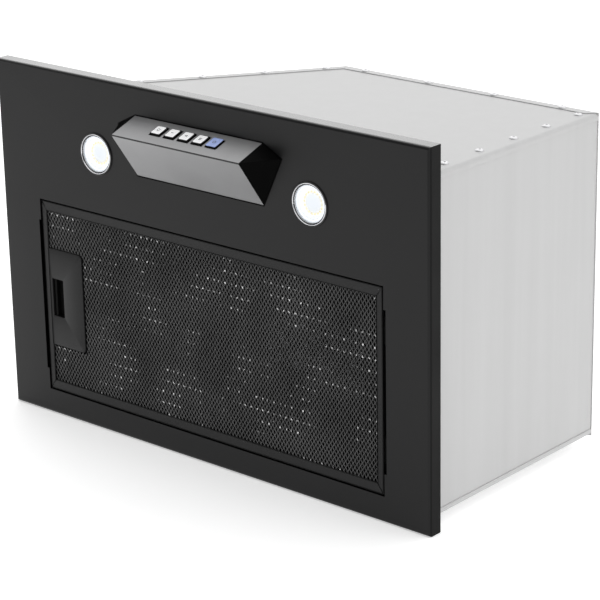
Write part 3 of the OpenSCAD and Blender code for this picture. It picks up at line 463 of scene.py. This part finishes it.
def mesh_paint():
    """Black paint with painted glints: bright white spots, in rows one wave of the core apart,
    that stand in for highlights.
    """
    made = finish("Mesh black paint", colours().mesh, 0.34, spread=0.10, tone=0.3, bump=0.15,
                  grain=900.0, Specular_IOR_Level=0.45)
    tree = made.node_tree
    glint_spots = add_node(tree, "Group", node_tree=glint_group(),
                      Turns=2 * math.pi / sizes().wave_pitch,
                      Steps=2 * math.pi / sizes().glint_pitch)
    shader = tree.nodes["Principled BSDF"]
    dull = shader.inputs["Base Color"].links[0].from_socket
    # Painted highlight: white is mixed into the base colour at the glint spots.
    bright = add_node(tree, "Mix", {"Factor": glint_spots.outputs["Glint Mask"]}, data_type="RGBA")
    tree.links.new(dull, bright.inputs[MIX_COLOUR_A])
    bright.inputs[MIX_COLOUR_B].default_value = (0.98, 0.98, 0.98, 1.0)
    tree.links.new(bright.outputs[MIX_COLOUR_OUT], shader.inputs["Base Color"])
    return made


def body_sheet():
    return finish("Coated grey sheet", colours().sheet, 0.45, spread=0.05, tone=0.035, bump=0.06,
                  grain=1200.0, streaks=0.8, Specular_IOR_Level=0.2)


def zinc_sheet():
    return finish("Galvanised sheet", colours().zinc, 0.36, metallic=1.0, spread=0.12, tone=0.22,
                  bump=0.05, grain=300.0, streaks=0.3)


def rivet_metal():
    return finish("Rivet aluminium", (0.66, 0.66, 0.67), 0.34, metallic=0.8, tone=0.06, bump=0.05)


def housing_satin():
    return finish("Satin metallic plastic", colours().housing, 0.36, metallic=0.55, spread=0.05,
                  tone=0.08, bump=0.12, grain=1600.0)


# Deep black as painted shade: the housing's end faces and the band of shadow at its foot.
def housing_painted_shade():
    return finish("Painted shade black", (0.0015, 0.0015, 0.0015), 0.45, tone=0.2, bump=0.04,
                  grain=900.0, Specular_IOR_Level=0.03)


# Dark plastic of the lamp rings; on the housing's ridge flat it is painted shade.
def ring_plastic_and_ridge_shade():
    return finish("Ring plastic and painted ridge shade", (0.020, 0.020, 0.020), 0.35, tone=0.2, bump=0.04,
                  grain=900.0, Specular_IOR_Level=0.3)


def black_plastic():
    return finish("Moulded black plastic", (0.022, 0.022, 0.023), 0.5, tone=0.15, bump=0.2,
                  grain=1400.0)


# Near-black plastic with almost no gloss: painted shade in the handle's slot, in the gap round the
# filter's seat and at the sides of the button skirts.
def shade_black_plastic():
    return finish("Painted shade black plastic", (0.003, 0.003, 0.003), 0.6, tone=0.2, bump=0.2,
                  Specular_IOR_Level=0.06)


def chrome():
    return finish("Lamp chrome", (0.62, 0.62, 0.64), 0.10, metallic=1.0, spread=0.04, tone=0.05,
                  bump=0.01)


# --- Pieces ---

class PieceOperator(bpy.types.Operator):
    """Shared behaviour of the operators that build pieces."""
    bl_options = {"REGISTER", "UNDO"}

    def execute(self, context):
        self.build()
        return {"FINISHED"}


def paint_nodes(material, *nodes):
    """Puts one material on frame nodes whose shape is right as it is."""
    for node in nodes:
        mesh = frame["nodes"][node].data
        mesh.materials.clear()
        mesh.materials.append(material)


class HOOD_OT_panel(PieceOperator):
    """Paints the folded panel, with painted shade on its side rims and a painted sheen on its top
    rim, and the filter's seat in painted shade black, and rounds their cut edges
    """
    bl_idname = "hood.panel"
    bl_label = "Panel"

    def build(self):
        low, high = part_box("front_panel")
        skin, facing = 0.5 * MM, 0.7
        softened("front_panel", panel_paint(), sizes().edge_round, (
            (rim_side_shaded_paint(), lambda normal, middle: (np.abs(normal[:, 0]) > facing)
             & (middle[:, 0] > high.x - skin)),
            (rim_top_sheen_paint(), lambda normal, middle: (normal[:, 2] > facing)
             & (middle[:, 2] > high.z - skin))))
        # The filter's seat, seen only through the gap round the filter, in painted shade black.
        softened("filter_seat", shade_black_plastic(), sizes().edge_round / 2)


class HOOD_OT_body(PieceOperator):
    """Gives the covers and walls of the body their coated sheet, with soft cut edges"""
    bl_idname = "hood.body"
    bl_label = "Body"

    def build(self):
        for node in ("top_cover", "bottom_cover", "right_side_wall", "slanted_side_wall",
                     "back_wall"):
            softened(node, body_sheet(), sizes().edge_round)
        paint_nodes(zinc_sheet(), "mounting_frame", "panel_nuts")


def rivet_places(node):
    """Lowest and highest corner of every rivet head of a node: its triangles are grouped into
    the heads whose points they share."""
    shape = bmesh.new()
    shape.from_mesh(frame["nodes"][node].data)
    bmesh.ops.remove_doubles(shape, verts=shape.verts, dist=HEAD_WELD)
    left, places = set(shape.verts), []
    while left:
        head, queue = [], [left.pop()]
        while queue:
            vert = queue.pop()
            head.append(vert.co.copy())
            near = {edge.other_vert(vert) for edge in vert.link_edges} & left
            left -= near
            queue.extend(near)
        head = np.array(head)
        places.append((head.min(0), head.max(0)))
    shape.free()
    return sorted(places, key=lambda box: tuple(np.round(box[0], 5)))


class HOOD_OT_rivets(PieceOperator):
    """Turns domed rivet heads with a drawn-mandrel hole at every riveted place"""
    bl_idname = "hood.rivets"
    bl_label = "Rivets"

    def build(self):
        flat_share = 0.42
        mandrel_hole = ((0.30, 0.97), (0.26, 0.70), (0.0, 0.62))
        for node, up in (("top_rivets", 1.0), ("bottom_rivets", -1.0)):
            heads = []
            for low, high in rivet_places(node):
                radius = (high[0] - low[0]) / 2
                height = high[2] - low[2]
                base = low[2] if up > 0 else high[2]
                middle = ((low[0] + high[0]) / 2, (low[1] + high[1]) / 2, base)
                arc = np.linspace(0, np.pi / 2, 7)
                dome = np.stack([radius * (flat_share + (1 - flat_share) * np.cos(arc)),
                                 height * np.sin(arc)], 1)
                hole = np.array(mandrel_hole) * (radius, height)
                foot = np.array([(0.0, 0.0), (radius, 0.0)])
                heads.append(lathe(np.concatenate([foot, dome, hole]), middle, (0, 0, up),
                                   steps=24))
            points, quads = joined(heads)
            surface(node + "_domed", points, quads, rivet_metal(), "hood", (node,))


def rail(outer, inner, start, profile, depth_range, gap):
    """One rail of a mitred frame. Its profile runs across from the outer to the inner corner
    line, 0 to 1, and from front to back, 0 to 1; both ends lie on the mitre lines, drawn back
    by the gap."""
    end = (start + 1) % 4
    along = np.subtract(outer[end], outer[start]).astype(float)
    along /= np.linalg.norm(along)
    across, depth = profile[:, 0][:, None], profile[:, 1]
    rings = []
    for corner, sign in ((start, 1), (end, -1)):
        flat = (1 - across) * outer[corner] + across * np.array(inner[corner]) + sign * gap * along
        y = depth_range[0] + depth * (depth_range[1] - depth_range[0])
        rings.append(np.stack([flat[:, 0], y, flat[:, 1]], 1))
    count = len(profile)
    caps = [np.arange(count)[::-1], np.arange(count) + count]
    return np.concatenate(rings), grid_quads(2, count, False, True), caps


class HOOD_OT_filter_frame(PieceOperator):
    """Builds the filter's four mitred rails and paints its hooks"""
    bl_idname = "hood.filter_frame"
    bl_label = "Filter frame"

    def build(self):
        low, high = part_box("filter_frame")
        mesh_low, mesh_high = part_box("filter_front_mesh")
        grip, mitre_gap, corner_round = 2.6 * MM, 0.12 * MM, 0.06
        outer = rectangle(low.x, high.x, low.z, high.z)
        inner = rectangle(mesh_low.x + grip, mesh_high.x - grip, mesh_low.z + grip,
                          mesh_high.z - grip)
        profile = rounded_outline([(1, 1), (1, 0), (0, 0), (0, 1)], corner_round, 4)
        rails, ends = [], []
        for start in range(4):
            points, quads, caps = rail(outer, inner, start, profile, (low.y, high.y), mitre_gap)
            ends += [cap + start * len(points) for cap in caps]
            rails.append((points, quads))
        points, quads = joined(rails)
        surface("filter_rails", points, quads, filter_paint(), "filter", ("filter_frame",),
                caps=ends)
        paint_nodes(filter_paint(), "filter_hook_tabs")


def expanded_mesh(area, y, cell, strand, slope, wave):
    """Strands of expanded metal. Strand k runs along X about height k * h / 2 and steps up and
    down by h / 4, less an overlap, once in each cell width, out of phase with its neighbours,
    so that they meet in bonds and leave staggered openings. Its section is a flat bar, drawn
    out on each side by the mitre of the two runs that meet at a point, and tilted by slope.
    The sheet swings in depth by the wave's height times sin(2 pi z / the wave's pitch)."""
    x0, x1, z0, z1 = area
    w, h = cell
    bond, overlap = 0.04, 0.3
    row = np.arange(math.ceil(z0 / (h / 2)), math.ceil(z1 / (h / 2)))
    column = np.arange(math.ceil(x0 / w * 4), math.floor(x1 / w * 4) + 1)
    k, j = np.meshgrid(row, column, indexing="ij")
    rise = np.where((j // 2 + k) % 2 == 0, 1.0, -1.0)
    x = j * w / 4 + np.where(j % 2 == 0, bond, -bond) * w
    z = k * h / 2 + rise * (h / 4 - strand[0] * overlap)
    run = np.stack([np.diff(x), np.diff(z)], -1)
    run /= np.linalg.norm(run, axis=-1)[..., None]
    normal = np.stack([-run[..., 1], run[..., 0]], -1)
    before = np.concatenate([normal[:, :1], normal], 1)
    after = np.concatenate([normal, normal[:, -1:]], 1)
    mitre = (before + after) / (1 + np.sum(before * after, -1))[..., None]
    lift = wave[0] * np.sin(2 * np.pi * z / wave[1])
    middle = np.stack([x, y + lift, z], -1)
    flat = np.stack([mitre[..., 0], np.zeros_like(x), mitre[..., 1]], -1)
    depth = np.array([0.0, 1.0, 0.0])
    across = (math.cos(slope) * flat + math.sin(slope) * depth) * strand[0] / 2
    through = (math.cos(slope) * depth - math.sin(slope) * flat) * strand[1] / 2
    section = np.stack([-across - through, across - through, across + through,
                        through - across], 2)
    points = middle[:, :, None] + section
    rows, columns = k.shape
    ends = np.array([(3, 2, 1, 0), (0, 1, 2, 3)]) + [[0], [(columns - 1) * 4]]
    one = np.concatenate([grid_quads(columns, 4, False, True), ends])
    quads = one[None] + (np.arange(rows) * columns * 4)[:, None, None]
    return points.reshape(-1, 3), quads.reshape(-1, 4)


class HOOD_OT_filter_mesh(PieceOperator):
    """Builds the filter's layers of expanded metal round the handle: a flat black sheet with
    painted glints in front, two waved sheets painted near black as shade in the core and a coarser
    black sheet behind"""
    bl_idname = "hood.filter_mesh"
    bl_label = "Filter mesh"

    def build(self):
        low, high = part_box("filter_front_mesh")
        handle_low, handle_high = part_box("filter_handle")
        size = sizes()
        grip = 1.6 * MM
        left, right = low.x + grip, high.x - grip
        areas = [(left, right, low.z + grip, handle_low.z),
                 (handle_high.x, right, handle_low.z, handle_high.z),
                 (left, right, handle_high.z, high.z - grip)]
        core_low, core_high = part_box("filter_core_mesh")
        core_y = (core_low.y + core_high.y) / 2
        swing = (core_high.y - core_low.y) / 2 - size.strand_w / 2
        layers = (("filter_front_mesh", None, 1.0, 1.0, 24, 0.0, mesh_paint()),
                  ("filter_core_mesh", core_y, 1.2, 1.0, -35, swing, core_foil_painted_shade()),
                  ("filter_core_mesh_inner", core_y, 1.3, 1.2, 30, -swing, core_foil_painted_shade()),
                  ("filter_back_mesh", None, 1.5, 1.7, 38, 0.0, mesh_paint()))
        for name, y, scale, bold, degrees, lift, material in layers:
            replaced = () if name.endswith("inner") else (name,)
            if y is None:
                node_low, node_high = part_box(name)
                y = (node_low.y + node_high.y) / 2
            points, quads = joined([
                expanded_mesh(area, y, (size.cell_w * scale, size.cell_h * scale),
                              (size.strand_w * bold, size.strand_t), math.radians(degrees),
                              (lift, size.wave_pitch)) for area in areas])
            surface(name + "_strands", points, quads, material, "filter", replaced)


class HOOD_OT_handle(PieceOperator):
    """Builds the filter's handle plate with a finger slot, and finishes the latch"""
    bl_idname = "hood.handle"
    bl_label = "Filter handle"

    def build(self):
        low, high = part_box("filter_handle")
        low.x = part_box("filter_front_mesh")[0].x + MM
        slot_low, slot_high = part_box("latch_slider")
        soft = 0.6 * MM
        middle_step, least_round = 0.3 * soft, 0.1 * MM
        slot_start, slot_end = low.x + 4.5 * MM, low.x + 19.0 * MM
        slot = np.array(rectangle(slot_start, slot_end, slot_low.z + MM, slot_high.z - MM))
        radii = np.array([0.5, 4.0, 4.0, 0.5]) * MM
        outline = np.array(rectangle(low.x, high.x, low.z, high.z))
        steps = [(0, high.y), (0, low.y + soft), (middle_step, low.y + middle_step), (soft, low.y)]
        rings = []
        for inset, depth in steps:
            drawn = outline - np.sign(outline - outline.mean(0)) * inset
            ring = rounded_outline(drawn, np.maximum(radii - inset, least_round))
            rings.append(np.insert(ring, 1, depth, axis=1))
        for inset, depth in reversed(steps):
            drawn = slot + np.sign(slot - slot.mean(0)) * inset
            rings.append(np.insert(rounded_outline(drawn, soft + inset), 1, depth, axis=1))
        quads = grid_quads(len(rings), len(rings[0]), True, True)
        surface("filter_handle_plate", np.concatenate(rings), quads, filter_paint(), "filter",
                ("filter_handle",))
        # The latch in painted shade black, so the slot reads as shade.
        paint_nodes(shade_black_plastic(), "latch_slider")
        paint_nodes(rivet_metal(), "latch_spring")


class HOOD_OT_housing(PieceOperator):
    """Gives the control housing its satin facets, its ends and ridge flat darkened as painted
    shade and a black band of painted shadow at its foot
    """
    bl_idname = "hood.housing"
    bl_label = "Control housing"

    def build(self):
        end_facing, ridge_facing = 0.3, 0.95
        # Painted shade: the end faces are deep black and the flat of the ridge darker, for the
        # shade they lie in.
        softened("control_housing", housing_satin(), sizes().housing_round, (
            (housing_painted_shade(), lambda normal, middle: np.abs(normal[:, 0]) > end_facing),
            (ring_plastic_and_ridge_shade(), lambda normal, middle: normal[:, 1] < -ridge_facing)))
        self.foot()
        paint_nodes(black_plastic(), "switch_block")
        paint_nodes(finish("Circuit board", (0.03, 0.16, 0.07), 0.4, tone=0.25, bump=0.2,
                           grain=900.0), "control_board")

    def foot(self):
        """Painted shadow between housing and panel: a flat black band round the housing's
        six-sided foot, whose outer line lies a set distance outside the foot's."""
        low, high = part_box("control_housing")
        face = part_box("front_panel")[0].y
        points = node_points("control_housing")
        on_ridge = 0.1 * MM
        ridge = points[points[:, 1] < low.y + on_ridge]
        corner_x, tip_z = ridge[:, 0].max(), ridge[:, 2].max()
        foot = np.array([(-corner_x, low.z), (corner_x, low.z), (high.x, tip_z),
                         (corner_x, high.z), (-corner_x, high.z), (low.x, tip_z)])
        edge = np.roll(foot, -1, axis=0) - foot
        edge /= np.linalg.norm(edge, axis=1)[:, None]
        after = np.stack([edge[:, 1], -edge[:, 0]], 1)
        before = np.roll(after, 1, axis=0)
        mitre = (before + after) / (1 + np.sum(before * after, 1))[:, None]
        width, proud = 1.1 * MM, 0.25 * MM
        loops = [np.insert(foot + mitre * out, 1, face - lift, axis=1)
                 for out, lift in ((0, 0), (width, 0), (width, proud), (0, proud))]
        surface("housing_foot_painted_shadow", np.concatenate(loops), grid_quads(4, len(foot), True, True),
                housing_painted_shade(), "hood")


class HOOD_OT_buttons(PieceOperator):
    """Builds the five button caps, each with a dark skirt, a bright dished crown with a
    chamfer round it and a small generic mark"""
    bl_idname = "hood.buttons"
    bl_label = "Buttons"

    def build(self):
        # The silver caps glow faintly white as a painted highlight; they are no lamp.
        silver_painted_glow = finish("Silver plastic", colours().button, 0.28, spread=0.04, tone=0.04,
                        bump=0.06, metallic=0.1,
                        Emission_Color=(1.0, 1.0, 1.0, 1.0), Emission_Strength=0.12)
        blue = finish("Blue plastic", colours().lit_button, 0.22, spread=0.04, tone=0.06,
                      bump=0.04, Emission_Color=(0.2, 0.3, 0.8, 1.0), Emission_Strength=0.06)
        mark = finish("Mark paint", (0.09, 0.09, 0.10), 0.5, tone=0.1)
        for number in range(1, 6):
            node = f"button_{number}"
            out = -AXES[node + "_press"].normalized()
            side = Vector((1, 0, 0))
            down = out.cross(side)
            span = [extent(node, axis) for axis in (side, down, out)]
            middle = side * sum(span[0]) / 2 + down * sum(span[1]) / 2
            half = np.array([span[0][1] - span[0][0], span[1][1] - span[1][0]]) / 2
            top = middle + out * span[2][1]
            body = BODY_OF[node]
            axes = (side, down, out)
            rim = (0.5 if number == 5 else 1.3) * MM
            dish, mark_sink = 0.2 * MM, 0.10 * MM
            self.cap(node + "_skirt", half, BUTTON_SKIRT, 0.0, top, axes, shade_black_plastic(), body,
                     (node,))
            self.cap(node + "_crown", half - rim, BUTTON_CROWN, dish, top, axes,
                     blue if number == 5 else silver_painted_glow, body)
            self.mark(number, top - out * mark_sink, axes, mark, body)

    def cap(self, name, half, steps, dish, top, axes, material, body, replaces=()):
        """A lofted block. Each step is the inset of a rounded rectangle and its height from the
        top, in millimetres; the last one is closed by four smaller copies that sink by
        dish * (1 - share squared)."""
        side, down, out = axes
        levels = []
        for inset, height in steps:
            across, along = half - inset * MM
            corners = rectangle(-across, across, -along, along)
            levels.append((rounded_outline(corners, sizes().button_round), height * MM))
        flat, crest = levels[-1]
        levels += [(flat * share, crest - dish * (1 - share ** 2))
                   for share in (0.8, 0.5, 0.2, 0.0)]
        levels.insert(0, (levels[0][0] * 0.0, levels[0][1]))
        points = [np.outer(flat[:, 0], side) + np.outer(flat[:, 1], down)
                  + np.array(top + out * height) for flat, height in levels]
        quads = grid_quads(len(points), len(points[0]), False, True)
        surface(name, np.concatenate(points), quads, material, body, replaces)

    def mark(self, number, centre, axes, material, body):
        """A ring for the first and last button and one to three bars for the others."""
        side, down, out = (np.array(axis) for axis in axes)
        ring_inner, ring_outer = 1.3 * MM, 1.8 * MM
        bar_half, bar_thick, bar_pitch, proud = 1.6 * MM, 0.3 * MM, 1.3 * MM, 0.06 * MM
        if number in (1, 5):
            angle = np.linspace(0, 2 * np.pi, 24, endpoint=False)[:, None]
            turn = np.cos(angle) * side + np.sin(angle) * down
            bars = [(ring_inner * turn, ring_outer * turn)]
        else:
            flat = rectangle(-bar_half, bar_half, -bar_thick, bar_thick)
            bars = []
            for place in (np.arange(number - 1) - (number - 2) / 2) * bar_pitch:
                line = np.array([side * s + down * (place + t) for s, t in flat])
                bars.append((line * 0.0 + line.mean(0), line))
        parts = []
        for inner, outer in bars:
            lift = out * proud
            loops = [inner, outer, outer + lift, inner + lift]
            points = np.concatenate(loops) + np.array(centre)
            parts.append((points, grid_quads(4, len(inner), True, True)))
        points, quads = joined(parts)
        surface(f"button_{number}_mark", points, quads, material, body)


class HOOD_OT_lamps(PieceOperator):
    """Turns the lamps: black ring, chrome bead, domed glass, white dish and LEDs"""
    bl_idname = "hood.lamps"
    bl_label = "Lamps"

    def build(self):
        glass = finish("Lamp glass", (0.95, 0.97, 1.0), 0.06, spread=0.02, tone=0.01, bump=0.01,
                       Transmission_Weight=1.0, IOR=1.45)
        white = finish("Lamp board white", (0.90, 0.92, 0.94), 0.5, tone=0.02,
                       Emission_Color=(0.94, 0.97, 1.0, 1.0), Emission_Strength=0.46)
        phosphor = finish("LED phosphor", (0.95, 0.82, 0.52), 0.45, tone=0.05,
                          Emission_Color=(1.0, 0.87, 0.60, 1.0), Emission_Strength=0.46)
        ring_height, dish_height, bed_share = 1.4 * MM, 1.5 * MM, 0.74
        glass_edge, glass_rise, glass_deep = 0.35 * MM, 0.5 * MM, 0.9 * MM
        for side in ("left", "right"):
            low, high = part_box("lamp_ring_" + side)
            board_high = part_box("lamp_board_" + side)[1]
            lens_low, lens_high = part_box("lamp_lens_" + side)
            r, glass_r = (high.x - low.x) / 2, (lens_high.x - lens_low.x) / 2
            face = low.y + ring_height
            centre = ((low.x + high.x) / 2, face, (low.z + high.z) / 2)
            depth = face - board_high.y
            bed = depth + dish_height
            ring = section(r, RING_RIM) + section(glass_r, RING_BARREL)
            dome = [(t * glass_r, glass_edge + glass_rise * (1 - t * t))
                    for t in (1.0, 0.85, 0.6, 0.3, 0.0)]
            under = [(0.0, -glass_deep), (glass_r, -glass_deep)]
            dish = [(glass_r * share, height * MM) for share, height in LAMP_DISH]
            dish = ([(dish[0][0], depth)] + dish
                    + [(glass_r * bed_share, bed), (0.0, bed), (0.0, depth)])
            for name, profile, material, replaced in (
                    (f"lamp_bead_{side}", section(r, LAMP_BEAD), chrome(), ()),
                    (f"lamp_ring_{side}_turned", ring, ring_plastic_and_ridge_shade(), ("lamp_ring_" + side,)),
                    (f"lamp_lens_{side}_domed", dome + under, glass, ("lamp_lens_" + side,)),
                    (f"lamp_board_{side}_dish", dish, white, ("lamp_board_" + side,))):
                points, quads = lathe(profile, centre, (0, -1, 0))
                surface(name, points, quads, material, "hood", replaced)
            self.leds(side, centre, bed, glass_r, phosphor)
        paint_nodes(zinc_sheet(), "lamp_cup_left", "lamp_cup_right")

    def leds(self, side, centre, height, glass_r, material):
        """Square LEDs on a circle, each a low pyramid frustum."""
        radius = glass_r * 0.58
        half, tall, taper = 1.15 * MM, 0.6 * MM, 0.85
        ring = np.array(rectangle(-half, half, -half, half))
        levels = [(0.0, 0.0), (1.0, 0.0), (taper, tall), (0.0, tall)]
        parts = []
        for angle in np.linspace(0, 2 * np.pi, sizes().led_count, endpoint=False):
            cos, sin = math.cos(angle), math.sin(angle)
            spin = np.array([(cos, -sin), (sin, cos)])
            middle = radius * np.array([cos, sin])
            loops = []
            for shrink, lift in levels:
                flat = ring * shrink @ spin.T + middle
                loops.append(np.stack([centre[0] + flat[:, 0],
                                       np.full(4, centre[1] - height - lift),
                                       centre[2] + flat[:, 1]], 1))
            parts.append((np.concatenate(loops), grid_quads(4, 4, False, True)))
        points, quads = joined(parts)
        surface(f"lamp_leds_{side}", points, quads, material, "hood")


class HOOD_OT_duct(PieceOperator):
    """Turns the duct collar with its flange and bead, and finishes the flaps and the gland"""
    bl_idname = "hood.duct"
    bl_label = "Duct"

    def build(self):
        low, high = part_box("duct_collar")
        centre = ((low.x + high.x) / 2, low.y, (low.z + high.z) / 2)
        flange_r = (high.x - low.x) / 2
        flange, wall, outer_cut, inner_cut = 9 * MM, 2 * MM, 0.6 * MM, 0.4 * MM
        bead_out, bead_half, bead_share = 0.9 * MM, 1.6 * MM, 0.72
        r, deep = flange_r - flange, high.y - low.y
        bore = r - wall
        bead = [(r + bead_out * math.sin(a), deep * bead_share - bead_half * math.cos(a))
                for a in np.linspace(0, np.pi, 9)]
        lip = [(r, deep - outer_cut), (r - outer_cut, deep), (bore + inner_cut, deep),
               (bore, deep - inner_cut)]
        profile = ([(bore, 0.0)] + section(flange_r, DUCT_FLANGE) + section(r, DUCT_ROOT) + bead
                   + lip)
        points, quads = lathe(profile, centre, (0, 1, 0), steps=128)
        surface("duct_collar_turned", points, quads, black_plastic(), "hood", ("duct_collar",))
        flap = finish("Flap aluminium", (0.62, 0.63, 0.65), 0.34, metallic=1.0, tone=0.12,
                      bump=0.05, streaks=0.6)
        softened("damper_flap_left", flap, sizes().edge_round)
        softened("damper_flap_right", flap, sizes().edge_round)
        self.gland()

    def gland(self):
        """A gland nut with a ribbed cap, whose radius steps out at each rib."""
        low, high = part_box("cord_gland")
        tall, cap_foot, cap_wall, ribs, swell_share = 14 * MM, 4.1 * MM, 1.2 * MM, 12, 0.04
        centre = ((low.x + high.x) / 2, high.y - tall, (low.z + high.z) / 2)
        r, bore = (high.x - low.x) / 2, 4.2 * MM
        nut = section(r, GLAND_NUT)
        profile = [(bore, nut[0][1])] + nut + section(bore, GLAND_MOUTH)
        points, quads = lathe(profile, centre, (0, 1, 0))
        offset = points - np.array(centre)
        angle = np.arctan2(offset[:, 2], offset[:, 0])
        reach = np.hypot(offset[:, 0], offset[:, 2])
        on_cap = (offset[:, 1] > cap_foot) & (reach > r - cap_wall)
        swell = 1 + np.where(on_cap, swell_share * np.sign(np.sin(ribs * angle)), 0.0)
        points[:, 0] = centre[0] + offset[:, 0] * swell
        points[:, 2] = centre[2] + offset[:, 2] * swell
        surface("cord_gland_nut", points, quads, black_plastic(), "hood", ("cord_gland",))


class HOOD_OT_inner_parts(PieceOperator):
    """Finishes the blower, the motor and the electrics inside the body"""
    bl_idname = "hood.inner_parts"
    bl_label = "Inner parts"

    def build(self):
        paint_nodes(zinc_sheet(), "scroll_wrap", "scroll_side_left", "scroll_side_right",
                    "motor_bracket", "capacitor_clip")
        paint_nodes(black_plastic(), "impeller")
        paint_nodes(finish("Cast aluminium", (0.45, 0.46, 0.48), 0.45, metallic=1.0, tone=0.2,
                           bump=0.5, grain=700.0), "motor", "capacitor")
        paint_nodes(rivet_metal(), "motor_shaft", "bracket_screws")
        paint_nodes(finish("Box plastic", (0.62, 0.62, 0.60), 0.5, tone=0.05, bump=0.15),
                    "terminal_box", "terminal_lid", "led_driver")
        paint_nodes(finish("Loom sleeve", (0.02, 0.02, 0.02), 0.7, tone=0.3, bump=0.6,
                           grain=600.0), "wiring_loom")


class HOOD_OT_stage(PieceOperator):
    """Lays the pale floor, lights it like a studio and sets up the camera"""
    bl_idname = "hood.stage"
    bl_label = "Stage"

    def build(self):
        stage = bpy.context.scene.hood_stage
        low, high = CAD_BOUNDS
        self.floor(low.z)
        self.surroundings(stage.daylight)
        self.lamp("Back strip", place=(-1.55, 1.62, 0.72), aim=(0.0, 0.0, 0.15), size=(2.2, 0.75),
                  power=4.5)
        self.camera(stage)

    def floor(self, height):
        """A flat square floor just below the hood, far wider than the view."""
        half, lines, gap = 6, 25, 0.5 * MM
        reach = np.linspace(-half, half, lines)
        x, y = np.meshgrid(reach, reach, indexing="ij")
        points = np.stack([x, y, np.full_like(x, height - gap)], -1).reshape(-1, 3)
        mesh = bpy.data.meshes.new("studio_floor")
        mesh.from_pydata(points.tolist(), [], grid_quads(lines, lines)[:, ::-1].tolist())
        mesh.materials.append(finish("Studio floor", (0.93, 0.93, 0.93), 0.7, tone=0.005,
                                     bump=0.0, spread=0.02,
                                     Emission_Color=(1.0, 1.0, 1.0, 1.0),
                                     Emission_Strength=0.4))
        thing = bpy.data.objects.new("studio_floor", mesh)
        bpy.context.scene.collection.objects.link(thing)

    def surroundings(self, strength):
        """White surroundings: brightest overhead, dimmer at the horizon and dark in front of
        the hood, where the room is unlit. The backdrop itself stays plain white."""
        world = bpy.data.worlds.new("Studio")
        bpy.context.scene.world = world
        world.use_nodes = True
        tree = world.node_tree
        background = tree.nodes["Background"]
        where = add_node(tree, "TexCoord").outputs["Generated"]
        parts = add_node(tree, "SeparateXYZ", {"Vector": where})
        height = add_node(tree, "MapRange", {"Value": parts.outputs["Z"]}, From_Min=0.0,
                          From_Max=0.8, To_Min=0.66, To_Max=1.6)
        front = add_node(tree, "MapRange", {"Value": parts.outputs["Y"]}, From_Min=-0.75,
                         From_Max=0.15, To_Min=0.25, To_Max=1.0)
        glow = add_node(tree, "Math", {0: height.outputs["Result"], 1: front.outputs["Result"]},
                        operation="MULTIPLY")
        seen = add_node(tree, "LightPath").outputs["Is Camera Ray"]
        shade = add_node(tree, "Mix", {"Factor": seen, "A": glow.outputs["Value"]}, B=1.0)
        tree.links.new(shade.outputs["Result"], background.inputs["Color"])
        background.inputs["Strength"].default_value = strength

    def lamp(self, name, place, aim, size, power):
        """A rectangular area light, size wide and high, that faces its aim."""
        light = bpy.data.lights.new(name, "AREA")
        light.shape = "RECTANGLE"
        light.size, light.size_y = size
        light.energy = power
        thing = bpy.data.objects.new(name, light)
        thing.location = place
        thing.rotation_euler = (Vector(aim) - Vector(place)).to_track_quat("-Z", "Y").to_euler()
        thing.visible_camera = False
        bpy.context.scene.collection.objects.link(thing)

    def camera(self, stage):
        """Camera on a sphere round its aim, from azimuth, elevation, roll and distance."""
        turn, tilt, roll = (math.radians(a) for a in (stage.azimuth, stage.elevation, stage.roll))
        forward = Vector((-math.sin(turn) * math.cos(tilt), math.cos(turn) * math.cos(tilt),
                          -math.sin(tilt)))
        right = Vector((math.cos(turn), math.sin(turn), 0.0))
        up = right.cross(forward)
        x_axis = math.cos(roll) * right + math.sin(roll) * up
        y_axis = math.cos(roll) * up - math.sin(roll) * right
        camera = bpy.data.objects.new("Camera", bpy.data.cameras.new("Camera"))
        camera.data.lens = stage.lens
        camera.data.sensor_width = 36.0
        place = Matrix((x_axis, y_axis, -forward)).transposed().to_4x4()
        place.translation = Vector(stage.aim) - forward * stage.distance
        camera.matrix_world = place
        bpy.context.scene.collection.objects.link(camera)
        bpy.context.scene.camera = camera
        bpy.context.scene.view_settings.view_transform = "Standard"


class HOOD_PT_panel(bpy.types.Panel):
    """Lists the operators and their settings"""
    bl_label = "Range Hood"
    bl_idname = "HOOD_PT_panel"
    bl_space_type = "VIEW_3D"
    bl_region_type = "UI"
    bl_category = "Range Hood"

    def draw(self, context):
        for operator in OPERATORS:
            self.layout.operator(operator.bl_idname)
        for group in (context.scene.hood_sizes, context.scene.hood_colours,
                      context.scene.hood_stage):
            for name in group.bl_rna.properties.keys():
                if name not in ("rna_type", "name"):
                    self.layout.prop(group, name)


OPERATORS = (HOOD_OT_stage, HOOD_OT_panel, HOOD_OT_body, HOOD_OT_rivets, HOOD_OT_filter_frame,
             HOOD_OT_filter_mesh, HOOD_OT_handle, HOOD_OT_housing, HOOD_OT_buttons,
             HOOD_OT_lamps, HOOD_OT_duct, HOOD_OT_inner_parts)
CLASSES = (HoodSizes, HoodColours, HoodStage, *OPERATORS, HOOD_PT_panel)


def register():
    for cls in CLASSES:
        bpy.utils.register_class(cls)
    bpy.types.Scene.hood_sizes = PointerProperty(type=HoodSizes)
    bpy.types.Scene.hood_colours = PointerProperty(type=HoodColours)
    bpy.types.Scene.hood_stage = PointerProperty(type=HoodStage)


def unregister():
    del bpy.types.Scene.hood_sizes, bpy.types.Scene.hood_colours, bpy.types.Scene.hood_stage
    for cls in reversed(CLASSES):
        bpy.utils.unregister_class(cls)


def main():
    """Builds every piece in order."""
    register()
    for operator in OPERATORS:
        group, name = operator.bl_idname.split(".")
        getattr(getattr(bpy.ops, group), name)()


if __name__ == "__main__":
    main()
